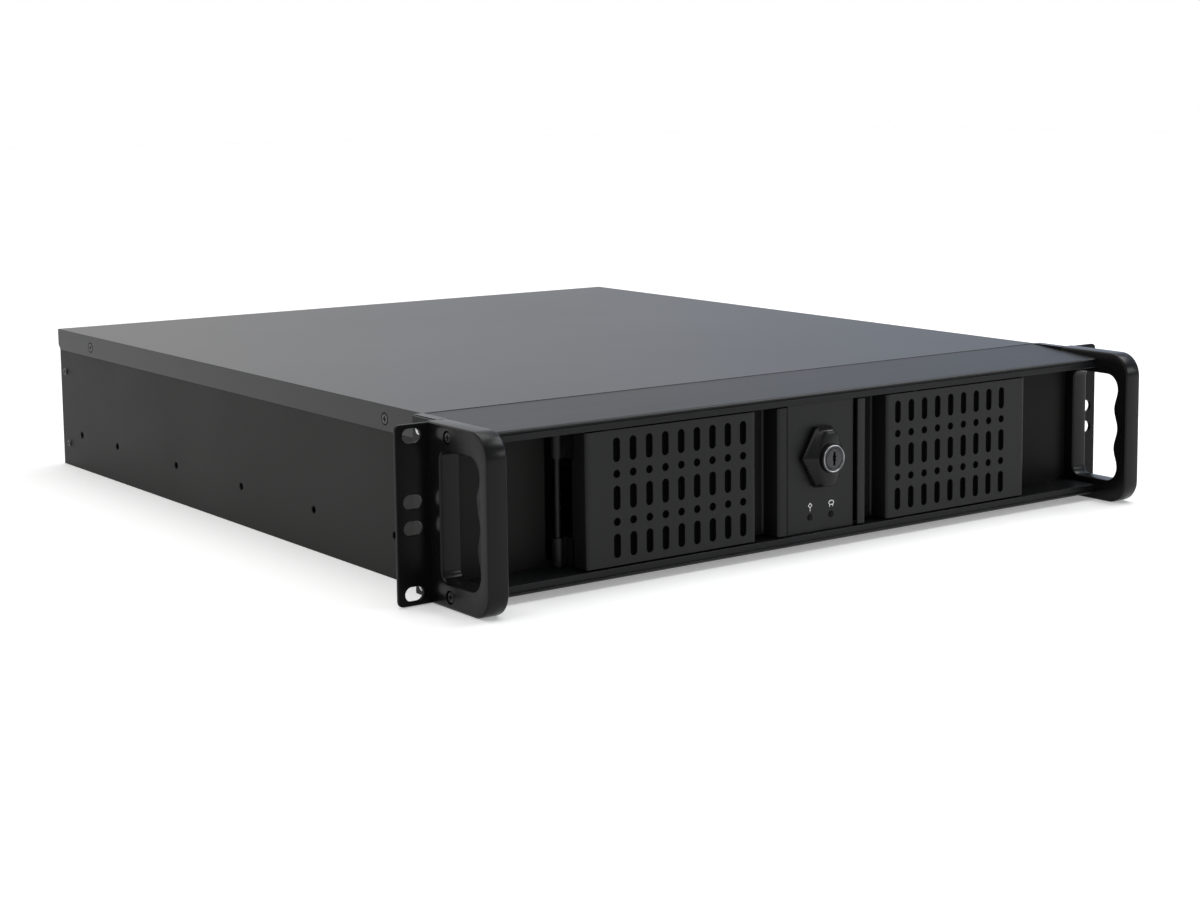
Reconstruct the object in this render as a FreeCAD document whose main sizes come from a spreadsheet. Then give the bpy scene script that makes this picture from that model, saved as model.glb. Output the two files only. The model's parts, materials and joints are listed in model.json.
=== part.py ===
"""Empty two-unit rackmount server case: folded tray, slide-on cover, framed front bezel
with two hinged grille doors and a key lock, cast handles on rack angles, and the inner
pieces that an empty case is sold with.

Frame: +Z up, front towards -Y, X to the right seen from the front. The origin lies under
the middle of the overall box. Lengths along Y are written from the front face of the rack
flanges, which ahead() turns into the part's own frame.
"""
import FreeCAD, Part
import math
import os
import Sketcher
from FreeCAD import Vector

os.makedirs("parts", exist_ok=True)
doc = FreeCAD.newDocument("RackCase")

# ---------------------------------------------------------------- driving sizes

SIZES = {
    # overall
    "unit_height": 88.0, "case_width": 424.0, "case_depth": 480.0, "handle_reach": 51.0,
    "gauge": 1.2, "cover_gauge": 1.0, "skirt_depth": 13.2, "lip_width": 12.0,
    # rack standard
    "rack_width": 482.6, "slot_span": 465.1, "slot_rise": 76.2, "slot_rise_inner": 12.7,
    "slot_length": 10.0, "slot_width": 7.0,
    # bezel rails
    "rail_back": 23.5, "rail_front": 28.0, "rail_floor": 9.2, "rail_edge": 0.3,
    "rail_slope": 3.5, "rail_wall": 1.6, "rail_groove": 0.7,
    "port_front": -16.5, "port_rear": 13.0, "port_rise": 5.8, "port_bore": 1.5,
    # inner front panel
    "inner_face": -3.0, "inner_gauge": 1.2, "window_inner": 58.0, "window_outer": 160.0,
    "window_margin": 3.0,
    # grille doors
    "door_face": -27.0, "door_gauge": 1.2, "door_outer": 152.0, "door_inner": 24.8,
    "channel_outer": 45.6, "channel_inner": 30.75, "door_depth": 12.0, "door_gap": 0.9,
    "catch_face": -17.4, "column_first": 54.0, "column_pitch": 9.94, "row_pitch": 12.0,
    "grille_slot_length": 12.3, "grille_slot_width": 4.2, "barrel_radius": 3.0,
    "pin_radius": 1.5, "pin_across": 156.0, "pin_ahead": -8.0, "barrel_height": 14.0,
    "filter_thick": 4.0,
    # lock panel and lock
    "lock_panel_half": 23.0, "lock_panel_face": -25.4, "lock_panel_gauge": 1.5,
    "lock_height": 49.6, "knob_width": 30.0, "knob_tall": 32.6, "knob_end": 11.0,
    "knob_base": 3.6, "knob_reach": 36.1, "barrel_lock_radius": 7.9, "ring_radius": 7.4,
    "key_radius": 6.3, "shaft_radius": 5.0, "cam_half": 26.3, "cam_width": 10.0,
    "led_across": 7.4, "led_height": 17.4, "led_radius": 1.5,
    # handles and rack angles
    "handle_thick": 11.3, "handle_bar": 12.5, "handle_grip": 9.9, "handle_heel": 9.5,
    "handle_corner": 13.0, "handle_round": 2.0, "finger_depth": 1.8,
    "plate_thick": 5.3, "angle_gauge": 2.0, "angle_leg": 20.0, "angle_round": 2.5,
    # fans
    "fan_size": 80.0, "fan_thick": 25.0, "fan_across": 101.0, "fan_bore": 38.0,
    "fan_bolt_span": 71.5, "fan_blade_tip": 35.8, "hub_radius": 17.0,
    # front panel controls
    "control_across": 40.0, "power_height": 54.0, "reset_height": 36.0,
    "power_radius": 5.5, "reset_radius": 2.5, "usb_upper": 54.0, "usb_lower": 34.0,
    # inside
    "cage_across": 130.0, "cage_front": 62.0, "cage_length": 150.0, "cage_tall": 60.0,
    "drive_width": 102.2, "standoff_tall": 6.5, "standoff_radius": 2.9,
    "brace_front": 222.0, "brace_wide": 18.0,
    # rear
    "shield_wide": 158.75, "shield_tall": 44.45, "shield_left": -62.0, "shield_low": 6.0,
    "slot_pitch": 20.32, "slot_first": -76.0, "slot_open": 12.0, "cover_wide": 18.4,
    "supply_across": 152.0, "supply_wide": 94.0, "supply_tall": 64.0, "supply_length": 194.0,
}

sheet = doc.addObject("Spreadsheet::Sheet", "Sizes")
for row, (alias, number) in enumerate(SIZES.items(), start=1):
    sheet.set("A%d" % row, alias.replace("_", " "))
    sheet.set("B%d" % row, str(number))
    sheet.setAlias("B%d" % row, alias)
doc.recompute()


class Dim:
    """A length that carries both its value and the spreadsheet expression behind it."""

    def __init__(self, value, text):
        self.value = float(value)
        self.text = text

    def __add__(self, other):
        other = dim(other)
        return Dim(self.value + other.value, "(%s + %s)" % (self.text, other.text))

    def __sub__(self, other):
        other = dim(other)
        return Dim(self.value - other.value, "(%s - %s)" % (self.text, other.text))

    def __mul__(self, other):
        other = dim(other)
        return Dim(self.value * other.value, "(%s * %s)" % (self.text, other.text))

    def __truediv__(self, other):
        other = dim(other)
        return Dim(self.value / other.value, "(%s / %s)" % (self.text, other.text))

    def __neg__(self):
        return Dim(-self.value, "(0 - %s)" % self.text)

    def __radd__(self, other):
        return dim(other) + self

    def __rsub__(self, other):
        return dim(other) - self

    def __rmul__(self, other):
        return dim(other) * self


def dim(value):
    if isinstance(value, Dim):
        return value
    number = "%.6g" % value
    return Dim(value, "(0 - %s)" % number[1:] if number.startswith("-") else number)


def size(alias):
    return Dim(float(sheet.get(alias)), "Sizes." + alias)


def ahead(value):
    """Y in the part's frame of a distance behind the front face of the rack flanges."""
    return (size("handle_reach") - size("case_depth")) / 2 + value


# ---------------------------------------------------------------- modelling helpers

PIECES = []
PLANES = {"XY": ("XY_Plane", 1), "XZ": ("XZ_Plane", -1), "YZ": ("YZ_Plane", 1)}


def bind(thing, prop, value):
    thing.setExpression(prop, dim(value).text)


def new_body(label):
    body = doc.addObject("PartDesign::Body", label)
    body.Label = label
    PIECES.append(body)
    return body


def place(thing, x, y, z):
    for axis, value in zip("xyz", (x, y, z)):
        bind(thing, "Placement.Base." + axis, value)


def new_sketch(body, plane, at):
    role, sense = PLANES[plane]
    origin = [f for f in body.Origin.OriginFeatures if f.Role == role][0]
    sketch = body.newObject("Sketcher::SketchObject", body.Label + "_sketch")
    sketch.AttachmentSupport = [(origin, "")]
    sketch.MapMode = "FlatFace"
    bind(sketch, "AttachmentOffset.Base.z", dim(at) * sense)
    return sketch


def tie(sketch, rules):
    """Adds constraints in one go; a rule may carry the expression that drives it."""
    made = sketch.addConstraint([Sketcher.Constraint(*rule) for rule, _ in rules])
    for index, (_, value) in zip(made, rules):
        if value is not None:
            bind(sketch, "Constraints[%d]" % index, value)


def at_point(geometry, point, u, v):
    """Rules that hold a point of the sketch at a place measured from its origin."""
    u, v = dim(u), dim(v)
    return [(("DistanceX", -1, 1, geometry, point, u.value), u),
            (("DistanceY", -1, 1, geometry, point, v.value), v)]


def polygon(sketch, points):
    """Closed outline. A point may carry the rise of an arc that runs on to the next one."""
    points = [(dim(p[0]), dim(p[1]), dim(p[2]) if len(p) > 2 else None) for p in points]
    first, count = sketch.GeometryCount, len(points)
    shapes = []
    for i, (u, v, rise) in enumerate(points):
        un, vn, _ = points[(i + 1) % count]
        a, b = Vector(u.value, v.value, 0), Vector(un.value, vn.value, 0)
        if rise is None:
            shapes.append(Part.LineSegment(a, b))
        else:
            side = Vector(b.y - a.y, a.x - b.x, 0).normalize()
            shapes.append(Part.Arc(a, (a + b) * 0.5 + side * rise.value, b))
    sketch.addGeometry(shapes)
    rules, starts, ends = [], [], []
    for i, (u, v, rise) in enumerate(points):
        here = sketch.Geometry[first + i].StartPoint if rise is not None else None
        turned = here is not None and here.distanceToPoint(Vector(u.value, v.value, 0)) > 1e-6
        starts.append((first + i, 2 if turned else 1))
        ends.append((first + i, 1 if turned else 2))
    for i, (u, v, rise) in enumerate(points):
        rules.append((("Coincident",) + ends[i] + starts[(i + 1) % count], None))
        rules += at_point(starts[i][0], starts[i][1], u, v)
        if rise is not None:
            un, vn, _ = points[(i + 1) % count]
            chord = (un - u) * (un - u) + (vn - v) * (vn - v)
            radius = (chord / 4 + rise * rise) / (rise * 2)
            radius = radius if radius.value > 0 else -radius
            rules.append((("Radius", first + i, radius.value), radius))
    tie(sketch, rules)


def rectangle(sketch, u0, v0, u1, v1):
    polygon(sketch, [(u0, v0), (u1, v0), (u1, v1), (u0, v1)])


def circle(sketch, u, v, radius):
    u, v, radius = dim(u), dim(v), dim(radius)
    index = sketch.addGeometry(
        Part.Circle(Vector(u.value, v.value, 0), Vector(0, 0, 1), radius.value))
    tie(sketch, [(("Radius", index, radius.value), radius)] + at_point(index, 3, u, v))


def obround(sketch, u, v, length, width):
    """Slot with round ends about a centre, along the sketch's first axis."""
    u, v, length, width = dim(u), dim(v), dim(length), dim(width)
    radius, half = width / 2, (length - width) / 2
    r, s = radius.value, half.value
    left, right = Vector(u.value - s, v.value, 0), Vector(u.value + s, v.value, 0)
    normal, rise = Vector(0, 0, 1), Vector(0, r, 0)
    first = sketch.GeometryCount
    sketch.addGeometry([
        Part.LineSegment(left - rise, right - rise),
        Part.ArcOfCircle(Part.Circle(right, normal, r), -math.pi / 2, math.pi / 2),
        Part.LineSegment(right + rise, left + rise),
        Part.ArcOfCircle(Part.Circle(left, normal, r), math.pi / 2, math.pi * 3 / 2)])
    rules = [(("Tangent", first + i, 2, first + (i + 1) % 4, 1), None) for i in range(4)]
    rules += [(("Equal", first + 1, first + 3), None), (("Radius", first + 1, r), radius)]
    rules += at_point(first + 1, 3, u + half, v) + at_point(first + 3, 3, u - half, v)
    tie(sketch, rules)


def around(u, v, reach, first, last, steps):
    """Corners spaced evenly on an arc about a centre, with the angles in degrees."""
    corners = []
    for i in range(steps + 1):
        angle = math.radians(first + (last - first) * i / steps)
        corners.append((u + reach * math.cos(angle), v + reach * math.sin(angle)))
    return corners


def drill(sketch, u, v, radius, sides=8):
    """Small hole with flat facets that clear the given radius."""
    reach = dim(radius) / math.cos(math.pi / sides)
    half = 180 / sides
    polygon(sketch, around(dim(u), dim(v), reach, half, 360 - half, sides - 1))


def rod(sketch, u, v, radius, sides=6):
    """Small round bar with flat facets that stay within the given radius."""
    half = 180 / sides
    polygon(sketch, around(dim(u), dim(v), dim(radius), half, 360 - half, sides - 1))


def grille_slot(sketch, u, v, length, width):
    """Upright slot whose round ends are drawn with a few facets."""
    u, v, length, width = dim(u), dim(v), dim(length), dim(width)
    rise = (length - width) / 2
    polygon(sketch, around(u, v + rise, width / 2, 0, 180, 3)
            + around(u, v - rise, width / 2, 180, 360, 3))


def extrude(body, kind, sketch, plane, depth):
    feature = body.newObject("PartDesign::" + kind, body.Label + "_" + kind.lower())
    feature.Profile = sketch
    bind(feature, "Length", depth)
    feature.Reversed = (plane == "XZ") == (kind == "Pad")
    sketch.Visibility = False
    body.Tip = feature
    return feature


def pad(body, plane, start, depth, draw):
    """Adds material from start to start + depth along the plane's own axis."""
    sketch = new_sketch(body, plane, start)
    draw(sketch)
    return extrude(body, "Pad", sketch, plane, depth)


def pocket(body, plane, start, depth, draw):
    """Removes material from start to start + depth along the plane's own axis."""
    doc.recompute()
    before = body.Shape.Volume
    sketch = new_sketch(body, plane, start)
    draw(sketch)
    feature = extrude(body, "Pocket", sketch, plane, depth)
    doc.recompute()
    if not body.Shape.Volume < before - 1e-3:
        raise RuntimeError("a cut in %s removes nothing" % body.Label)
    return feature


def row(body, features, sketch_of, axis, pitch, count, backwards=False):
    """Repeats features along a sketch axis."""
    pattern = body.newObject("PartDesign::LinearPattern", body.Label + "_row")
    pattern.Originals = features
    pattern.Direction = (sketch_of.Profile[0], [axis])
    pattern.Reversed = backwards
    bind(pattern, "Length", dim(pitch) * (count - 1))
    pattern.Occurrences = count
    body.Tip = pattern
    return pattern


def mirrored(source, label):
    """The mirror image of a piece, on the other side of the case."""
    twin = doc.addObject("Part::Mirroring", label)
    twin.Label = label
    twin.Source = source
    twin.Normal = Vector(1, 0, 0)
    PIECES.append(twin)
    return twin


def soften(body, radius, choose, kind="Fillet"):
    """Rounds or bevels the edges of the body that choose() accepts."""
    doc.recompute()
    tip = body.Tip
    names = ["Edge%d" % (i + 1) for i, e in enumerate(tip.Shape.Edges) if choose(e)]
    if not names:
        raise RuntimeError("no edge to round on %s" % body.Label)
    edging = body.newObject("PartDesign::" + kind, body.Label + "_" + kind.lower())
    edging.Base = (tip, names)
    bind(edging, "Radius" if kind == "Fillet" else "Size", radius)
    body.Tip = edging
    return edging


def near(a, b, slack=0.02):
    return abs(a - dim(b).value) < slack


def runs_along(edge, axis):
    if edge.Curve.TypeId != "Part::GeomLine":
        return False
    direction = edge.Vertexes[1].Point - edge.Vertexes[0].Point
    return abs(direction.normalize().dot(axis)) > 0.999


# ---------------------------------------------------------------- shared places

TALL = size("unit_height")
MIDDLE = TALL / 2
HALF = size("case_width") / 2
GAUGE = size("gauge")
TOP = TALL - size("cover_gauge")
WALL_FRONT = ahead(size("rail_back"))
REAR = ahead(size("case_depth"))
INNER = HALF - GAUGE
FLOOR = size("rail_floor")
CEILING = TALL - FLOOR
FAN_X = size("fan_across")
LOCK_Z = size("lock_height")
COVER_SCREWS = (dim(59.7), size("case_depth") - 52.4)
COVER_SCREW_Z = TOP - 6.2
REAR_SCREWS = ((size("case_depth") - 8.2, 61.0), (size("case_depth") - 10, 14.5))


# ---------------------------------------------------------------- case shell

def make_tray():
    """Base, both side walls with their top lips, and the front wall, folded from one sheet."""
    body = new_body("chassis_tray")
    lip = HALF - size("lip_width")

    def section(s):
        polygon(s, [(-HALF, 0), (HALF, 0), (HALF, TOP), (lip, TOP), (lip, TOP - GAUGE),
                    (INNER, TOP - GAUGE), (INNER, GAUGE), (-INNER, GAUGE),
                    (-INNER, TOP - GAUGE), (-lip, TOP - GAUGE), (-lip, TOP), (-HALF, TOP)])

    pad(body, "XZ", WALL_FRONT, REAR - WALL_FRONT, section)
    pad(body, "XZ", WALL_FRONT, GAUGE, lambda s: rectangle(s, -INNER, GAUGE, INNER, TOP))

    def fan_holes(s):
        for side in (-1, 1):
            drill(s, FAN_X * side, MIDDLE, size("fan_bore") - 1.4, 28)
            for dx in (-1, 1):
                for dz in (-1, 1):
                    drill(s, FAN_X * side + size("fan_bolt_span") * (dx / 2),
                          MIDDLE + size("fan_bolt_span") * (dz / 2), 1.5, 4)
        rectangle(s, -26, MIDDLE - 14, 26, MIDDLE + 14)

    pocket(body, "XZ", WALL_FRONT - 1, GAUGE + 2, fan_holes)
    slides = pocket(body, "YZ", -HALF - 1, size("case_width") + 2,
                    lambda s: drill(s, ahead(54), 22.3, 1.9, 6))
    row(body, [slides], slides, "H_Axis", 85, 5)

    def side_holes(s):
        drill(s, REAR - 30.7, 22.3, 1.9, 6)
        for y in COVER_SCREWS:
            drill(s, ahead(y), COVER_SCREW_Z, 1.55, 4)
        for y, z in REAR_SCREWS:
            drill(s, ahead(y), z, 1.5, 4)

    pocket(body, "YZ", -HALF - 1, size("case_width") + 2, side_holes)

    for spots in (cage_feet(), bracket_feet(), standoff_spots()):
        pocket(body, "XY", -1, GAUGE + 2, lambda s: [drill(s, x, y, 1.5, 4) for x, y in spots])
    return body


def make_cover():
    """Top sheet with side skirts that hang outside the tray's walls."""
    body = new_body("top_cover")
    gauge = size("cover_gauge")
    skirt = TALL - size("skirt_depth")
    wide = HALF + gauge

    def section(s):
        polygon(s, [(-wide, skirt), (-HALF, skirt), (-HALF, TOP), (HALF, TOP), (HALF, skirt),
                    (wide, skirt), (wide, TALL), (-wide, TALL)])

    pad(body, "XZ", WALL_FRONT, REAR - WALL_FRONT, section)

    def screw_holes(s):
        for y in COVER_SCREWS:
            drill(s, ahead(y), COVER_SCREW_Z, 3.1, 12)

    pocket(body, "YZ", -wide - 1, wide * 2 + 2, screw_holes)

    def bevel(s):
        polygon(s, [(REAR + 1, skirt - 1), (REAR + 1, skirt + 4), (REAR - 4, skirt - 1)])

    pocket(body, "YZ", -wide - 1, wide * 2 + 2, bevel)
    return body


def make_rear_panel():
    """Back wall with the board's connector opening, card slots, vents and supply opening."""
    body = new_body("rear_panel")
    face = REAR - GAUGE
    lip = HALF - size("lip_width")
    under = TOP - GAUGE
    pad(body, "XZ", face, GAUGE, lambda s: polygon(s, [
        (-INNER, GAUGE), (INNER, GAUGE), (INNER, under), (lip, under), (lip, TOP),
        (-lip, TOP), (-lip, under), (-INNER, under)]))

    def side_flanges(s):
        for side in (-1, 1):
            rectangle(s, (INNER - GAUGE) * side, 8, INNER * side, TOP - 7)

    pad(body, "XZ", face - 12, 12, side_flanges)
    pad(body, "XZ", face - 7, 7, lambda s: rectangle(s, -195, GAUGE, 195, GAUGE * 2))

    def openings(s):
        left, low = size("shield_left"), size("shield_low")
        rectangle(s, left, low, left + size("shield_wide"), low + size("shield_tall"))
        across, wide, high = size("supply_across"), size("supply_wide"), size("supply_tall")
        rectangle(s, across - wide / 2, MIDDLE - high / 2, across + wide / 2, MIDDLE + high / 2)
        for dx, dz in ((-48.9, 35.5), (48.9, 35.5), (48.9, -35.5)):
            drill(s, across + dx, MIDDLE + dz, 1.9, 6)

    pocket(body, "XZ", face - 1, GAUGE + 2, openings)
    slot = pocket(body, "XZ", face - 1, GAUGE + 2, lambda s: rectangle(
        s, size("slot_first") - size("slot_open") / 2, 14,
        size("slot_first") + size("slot_open") / 2, 68))
    row(body, [slot], slot, "H_Axis", size("slot_pitch"), 7, backwards=True)
    vent_x = size("shield_left") + 9
    vent_z = (size("shield_low") + size("shield_tall") + TOP) / 2 + 1
    vent = pocket(body, "XZ", face - 1, GAUGE + 2, lambda s: rectangle(
        s, vent_x - 2.1, vent_z - 10, vent_x + 2.1, vent_z + 10))
    row(body, [vent], vent, "H_Axis", 12.8, 12)

    def side_holes(s):
        for y, z in REAR_SCREWS:
            drill(s, ahead(y), z, 1.5, 4)

    pocket(body, "YZ", -HALF - 1, size("case_width") + 2, side_holes)
    return body


# ---------------------------------------------------------------- bezel

def rail_top(y):
    """Height of the upper rail's sloping top face at a distance behind the flange."""
    high = TALL - size("rail_edge")
    span = size("rail_back") + size("rail_front")
    return high - size("rail_slope") * (size("rail_back") - y) / span


def make_rail(label, upper):
    """Hollow extrusion across the bezel, with screw ports and seats for the hinge pins."""
    body = new_body(label)
    wall = size("rail_wall")

    def point(y, z):
        return (ahead(y), z if upper else TALL - z)

    back, front = size("rail_back"), -size("rail_front")
    groove = size("rail_groove")

    def outer(s):
        brow = rail_top(front)
        polygon(s, [point(back, rail_top(back)), point(front + 1, brow), point(front, brow - 0.8),
                    point(front, brow - 1.6), point(front + groove, brow - 1.6),
                    point(front + groove, brow - 1.6 - groove), point(front, brow - 1.6 - groove),
                    point(front, CEILING), point(back, CEILING)])

    def chamber(s, start, end):
        low = CEILING + wall
        polygon(s, [point(start, low), point(end, low), point(end, rail_top(end) - wall),
                    point(start, rail_top(start) - wall)])

    pad(body, "YZ", -HALF, size("case_width"), outer)

    def hollows(s):
        ports = (size("port_front"), size("port_rear"))
        chamber(s, front + 2.2, ports[0] - 3.4)
        chamber(s, ports[0] + 3.4, ports[1] - 3.4)
        chamber(s, ports[1] + 3.4, back - wall)
        for y in ports:
            drill(s, ahead(y), TALL - size("port_rise") if upper else size("port_rise"),
                  size("port_bore"), 6)

    pocket(body, "YZ", -HALF - 1, size("case_width") + 2, hollows)

    def pin_seats(s):
        for side in (-1, 1):
            drill(s, size("pin_across") * side, ahead(size("pin_ahead")),
                  size("pin_radius") + 0.02, 16)

    if upper:
        pocket(body, "XY", CEILING - 1, wall + 2, pin_seats)
    else:
        pocket(body, "XY", FLOOR - wall - 1, wall + 2, pin_seats)
        pocket(body, "XY", FLOOR - wall - 1, wall + 2,
               lambda s: [drill(s, x, ahead(-6), 1.5) for x in (-206, 206)])
    return body


def make_inner_panel():
    """Recessed panel between the rails: fan windows, the controls, and folded edges."""
    body = new_body("front_inner_panel")
    face, gauge = ahead(size("inner_face")), size("inner_gauge")
    end = HALF - 0.3

    def section(s):
        back = ahead(size("rail_back")) - 1.5
        polygon(s, [(face, FLOOR), (back, FLOOR), (back, FLOOR + gauge),
                    (face + gauge, FLOOR + gauge), (face + gauge, CEILING - gauge),
                    (back, CEILING - gauge), (back, CEILING), (face, CEILING)])

    pad(body, "YZ", -end, end * 2, section)

    def openings(s):
        low = FLOOR + size("window_margin")
        high = CEILING - size("window_margin")
        for side in (-1, 1):
            rectangle(s, size("window_inner") * side, low, size("window_outer") * side, high)
        x = -size("control_across")
        drill(s, x, size("power_height"), size("power_radius") + 0.4, 16)
        drill(s, x, size("reset_height"), size("reset_radius") + 0.4, 12)
        x = size("control_across")
        for z in (size("usb_upper"), size("usb_lower")):
            rectangle(s, x - 3.8, z - 7.4, x + 3.8, z + 7.4)
        rectangle(s, -12, MIDDLE - 12, 12, MIDDLE + 12)

    pocket(body, "XZ", face - 1, gauge + 2, openings)
    return body


def make_door():
    """Right grille door: one folded sheet, from the catch channel round to the hinge leaf."""
    body = new_body("right_door")
    gauge = size("door_gauge")
    face = ahead(size("door_face"))
    low = FLOOR + size("door_gap")
    tall = CEILING - FLOOR - size("door_gap") * 2
    inner, outer = size("door_inner"), size("door_outer")
    near_side, far_side = size("channel_inner"), size("channel_outer")
    floor_y = face + size("door_depth")
    catch = ahead(size("catch_face"))
    leaf = ahead(size("pin_ahead")) + 1.2

    def section(s):
        polygon(s, [
            (inner, face), (near_side, face), (near_side, floor_y), (far_side, floor_y),
            (far_side, face), (outer, face), (outer, floor_y), (outer - gauge, floor_y),
            (outer - gauge, face + gauge), (far_side + gauge, face + gauge),
            (far_side + gauge, floor_y + gauge), (near_side - gauge, floor_y + gauge),
            (near_side - gauge, catch), (inner - 0.6, catch), (inner - 0.6, catch - gauge),
            (near_side - gauge, catch - gauge), (near_side - gauge, face + gauge),
            (inner, face + gauge)])

    pad(body, "XY", low, tall, section)

    # two hinge barrels, each on a leaf that runs back from the outer fold
    pin_x, pin_y = size("pin_across"), ahead(size("pin_ahead"))
    deep = size("barrel_height")

    def leaves(s):
        polygon(s, [(outer - gauge, floor_y - 1), (outer, floor_y - 1), (outer, leaf - gauge * 2),
                    (pin_x, leaf - gauge * 2), (pin_x, leaf), (outer - gauge, leaf)])

    for start in (low, low + tall - deep):
        pad(body, "XY", start, deep, leaves)
        pad(body, "XY", start, deep,
            lambda s: rod(s, pin_x, pin_y, size("barrel_radius"), 10))
    pocket(body, "XY", low - 1, tall + 2,
           lambda s: drill(s, pin_x, pin_y, size("pin_radius") + 0.05, 12))

    # the grille: three rows of upright slots with a row of round holes between each pair
    first_x = size("column_first")
    width, pitch = size("grille_slot_width"), size("column_pitch")
    for count, first_z, draw in (
            (3, MIDDLE - size("row_pitch") * 2, lambda s, z: grille_slot(
                s, first_x, z, size("grille_slot_length"), width)),
            (2, MIDDLE - size("row_pitch"), lambda s, z: drill(s, first_x, z, width / 2, 6))):
        hole = pocket(body, "XZ", face - 1, gauge + 2, lambda s: draw(s, first_z))
        grid = row(body, [hole], hole, "H_Axis", pitch, 9)
        grid.Direction2 = (hole.Profile[0], ["V_Axis"])
        bind(grid, "Length2", size("row_pitch") * (2 * (count - 1)))
        grid.Occurrences2 = count
    return body


def make_filter():
    """Foam pad held between the folds behind the right grille."""
    body = new_body("right_filter")
    gauge = size("door_gauge")
    low = FLOOR + size("door_gap") + 1.2
    high = CEILING - size("door_gap") - 1.2
    pad(body, "XZ", ahead(size("door_face")) + gauge, size("filter_thick"), lambda s: rectangle(
        s, size("channel_outer") + gauge, low, size("door_outer") - gauge, high))
    return body


def make_hinge_pins():
    """Two steel rods that stand in both rails and carry the doors."""
    body = new_body("door_hinge_pins")
    low = FLOOR - 3

    def rods(s):
        for side in (-1, 1):
            circle(s, size("pin_across") * side, ahead(size("pin_ahead")), size("pin_radius"))

    pad(body, "XY", low, CEILING + 3 - low, rods)
    return body


def make_lock_panel():
    """Folded centre panel that carries the lock and the two lamps, tabbed to the inner panel."""
    body = new_body("lock_panel")
    face, gauge = ahead(size("lock_panel_face")), size("lock_panel_gauge")
    back = ahead(size("inner_face"))
    low, high = FLOOR + 0.3, CEILING - 0.3
    half = size("lock_panel_half")
    pad(body, "XZ", face, gauge, lambda s: rectangle(s, -half, low, half, high))

    def flanges(s):
        rectangle(s, face, low, back, low + 1.2)
        rectangle(s, face, high - 1.2, back, high)

    pad(body, "YZ", -18, 36, flanges)

    def tabs(s):
        rectangle(s, -18, low, 18, low + 8)
        rectangle(s, -18, high - 8, 18, high)

    pad(body, "XZ", back - 1.2, 1.2, tabs)

    def holes(s):
        drill(s, 0, LOCK_Z, size("shaft_radius") + 0.06, 16)
        for side in (-1, 1):
            drill(s, size("led_across") * side, size("led_height"), size("led_radius") + 0.1)

    pocket(body, "XZ", face - 1, gauge + 2, holes)
    return body


# ---------------------------------------------------------------- lock

def make_lock():
    """Knob with its barrel, the ring and key cylinder in it, and the cam behind the panel."""
    knob = new_body("lock_knob")
    seat = ahead(size("lock_panel_face"))
    half, tall, end = size("knob_width") / 2, size("knob_tall") / 2, size("knob_end") / 2
    base = size("knob_base")
    front = ahead(-size("knob_reach"))

    def lozenge(s, w, t, e, corner):
        polygon(s, [(-w, -corner), (-e, -t), (e, -t), (w, -corner), (w, corner), (e, t),
                    (-e, t), (-w, corner)])

    pad(knob, "XZ", seat - base, base, lambda s: lozenge(s, half, tall, end, dim(2.6)))
    # the wing narrows forwards from the base
    back_section = new_sketch(knob, "XZ", seat - base)
    lozenge(back_section, half - 2.6, tall - 0.6, end - 0.6, dim(3.0))
    front_section = new_sketch(knob, "XZ", seat - base - 4.2)
    lozenge(front_section, half - 6.2, tall - 1.6, end - 1.4, dim(4.0))
    wing = knob.newObject("PartDesign::AdditiveLoft", "lock_knob_wing")
    wing.Profile = back_section
    wing.Sections = [front_section]
    wing.Ruled = True
    knob.Tip = wing
    pad(knob, "XZ", front, seat - base - front,
        lambda s: circle(s, 0, 0, size("barrel_lock_radius")))
    pad(knob, "XZ", seat, size("lock_panel_gauge") + 0.1 + 3.2,
        lambda s: circle(s, 0, 0, size("shaft_radius")))
    pocket(knob, "XZ", front - 1, 8.4, lambda s: drill(s, 0, 0, size("key_radius") + 0.06, 16))
    pocket(knob, "XZ", front - 1, 2.2, lambda s: drill(s, 0, 0, size("ring_radius"), 20))
    pocket(knob, "XZ", seat + 1, 5, lambda s: drill(s, 0, 0, 1.5, 6))
    place(knob, 0, 0, LOCK_Z)

    ring = new_body("lock_ring")
    pad(ring, "XZ", front - 0.5, 1.7, lambda s: [rod(s, 0, 0, size("ring_radius"), 20),
                                                 drill(s, 0, 0, size("key_radius") + 0.06, 20)])
    place(ring, 0, 0, LOCK_Z)

    key = new_body("key_cylinder")
    pad(key, "XZ", front - 0.2, 7.5, lambda s: circle(s, 0, 0, size("key_radius")))

    def keyway(s):
        polygon(s, [(-1.5, 3.6), (-0.3, 3.6), (0.1, 1.2), (1.0, 0.5), (0.6, -0.8), (1.8, -3.6),
                    (0.6, -3.8), (-0.8, -0.6), (-0.5, 0.4), (-1.3, 1.2)])

    pocket(key, "XZ", front - 1.2, 5, keyway)
    place(key, 0, 0, LOCK_Z)

    cam = new_body("lock_cam")
    start = seat + size("lock_panel_gauge") + 1.3
    wide, long = size("cam_width") / 2, size("cam_half")

    def blade(s):
        polygon(s, [(-wide, -long + 3), (-wide + 3, -long), (wide - 3, -long), (wide, -long + 3),
                    (wide, long - 3), (wide - 3, long), (-wide + 3, long), (-wide, long - 3)])

    pad(cam, "XZ", start, 2, blade)
    pad(cam, "XZ", start - 1.2, 1.2, lambda s: rod(s, 0, 0, 7.5, 12))
    pocket(cam, "XZ", start - 2.2, 5, lambda s: drill(s, 0, 0, size("shaft_radius") + 0.01, 12))
    place(cam, 0, 0, LOCK_Z)

    screw = new_body("cam_screw")
    pad(screw, "XZ", start + 2, 1.8, lambda s: rod(s, 0, 0, 7.0, 12))
    pad(screw, "XZ", start - 1.6, 3.7, lambda s: rod(s, 0, 0, 1.45))
    place(screw, 0, 0, LOCK_Z)


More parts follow.
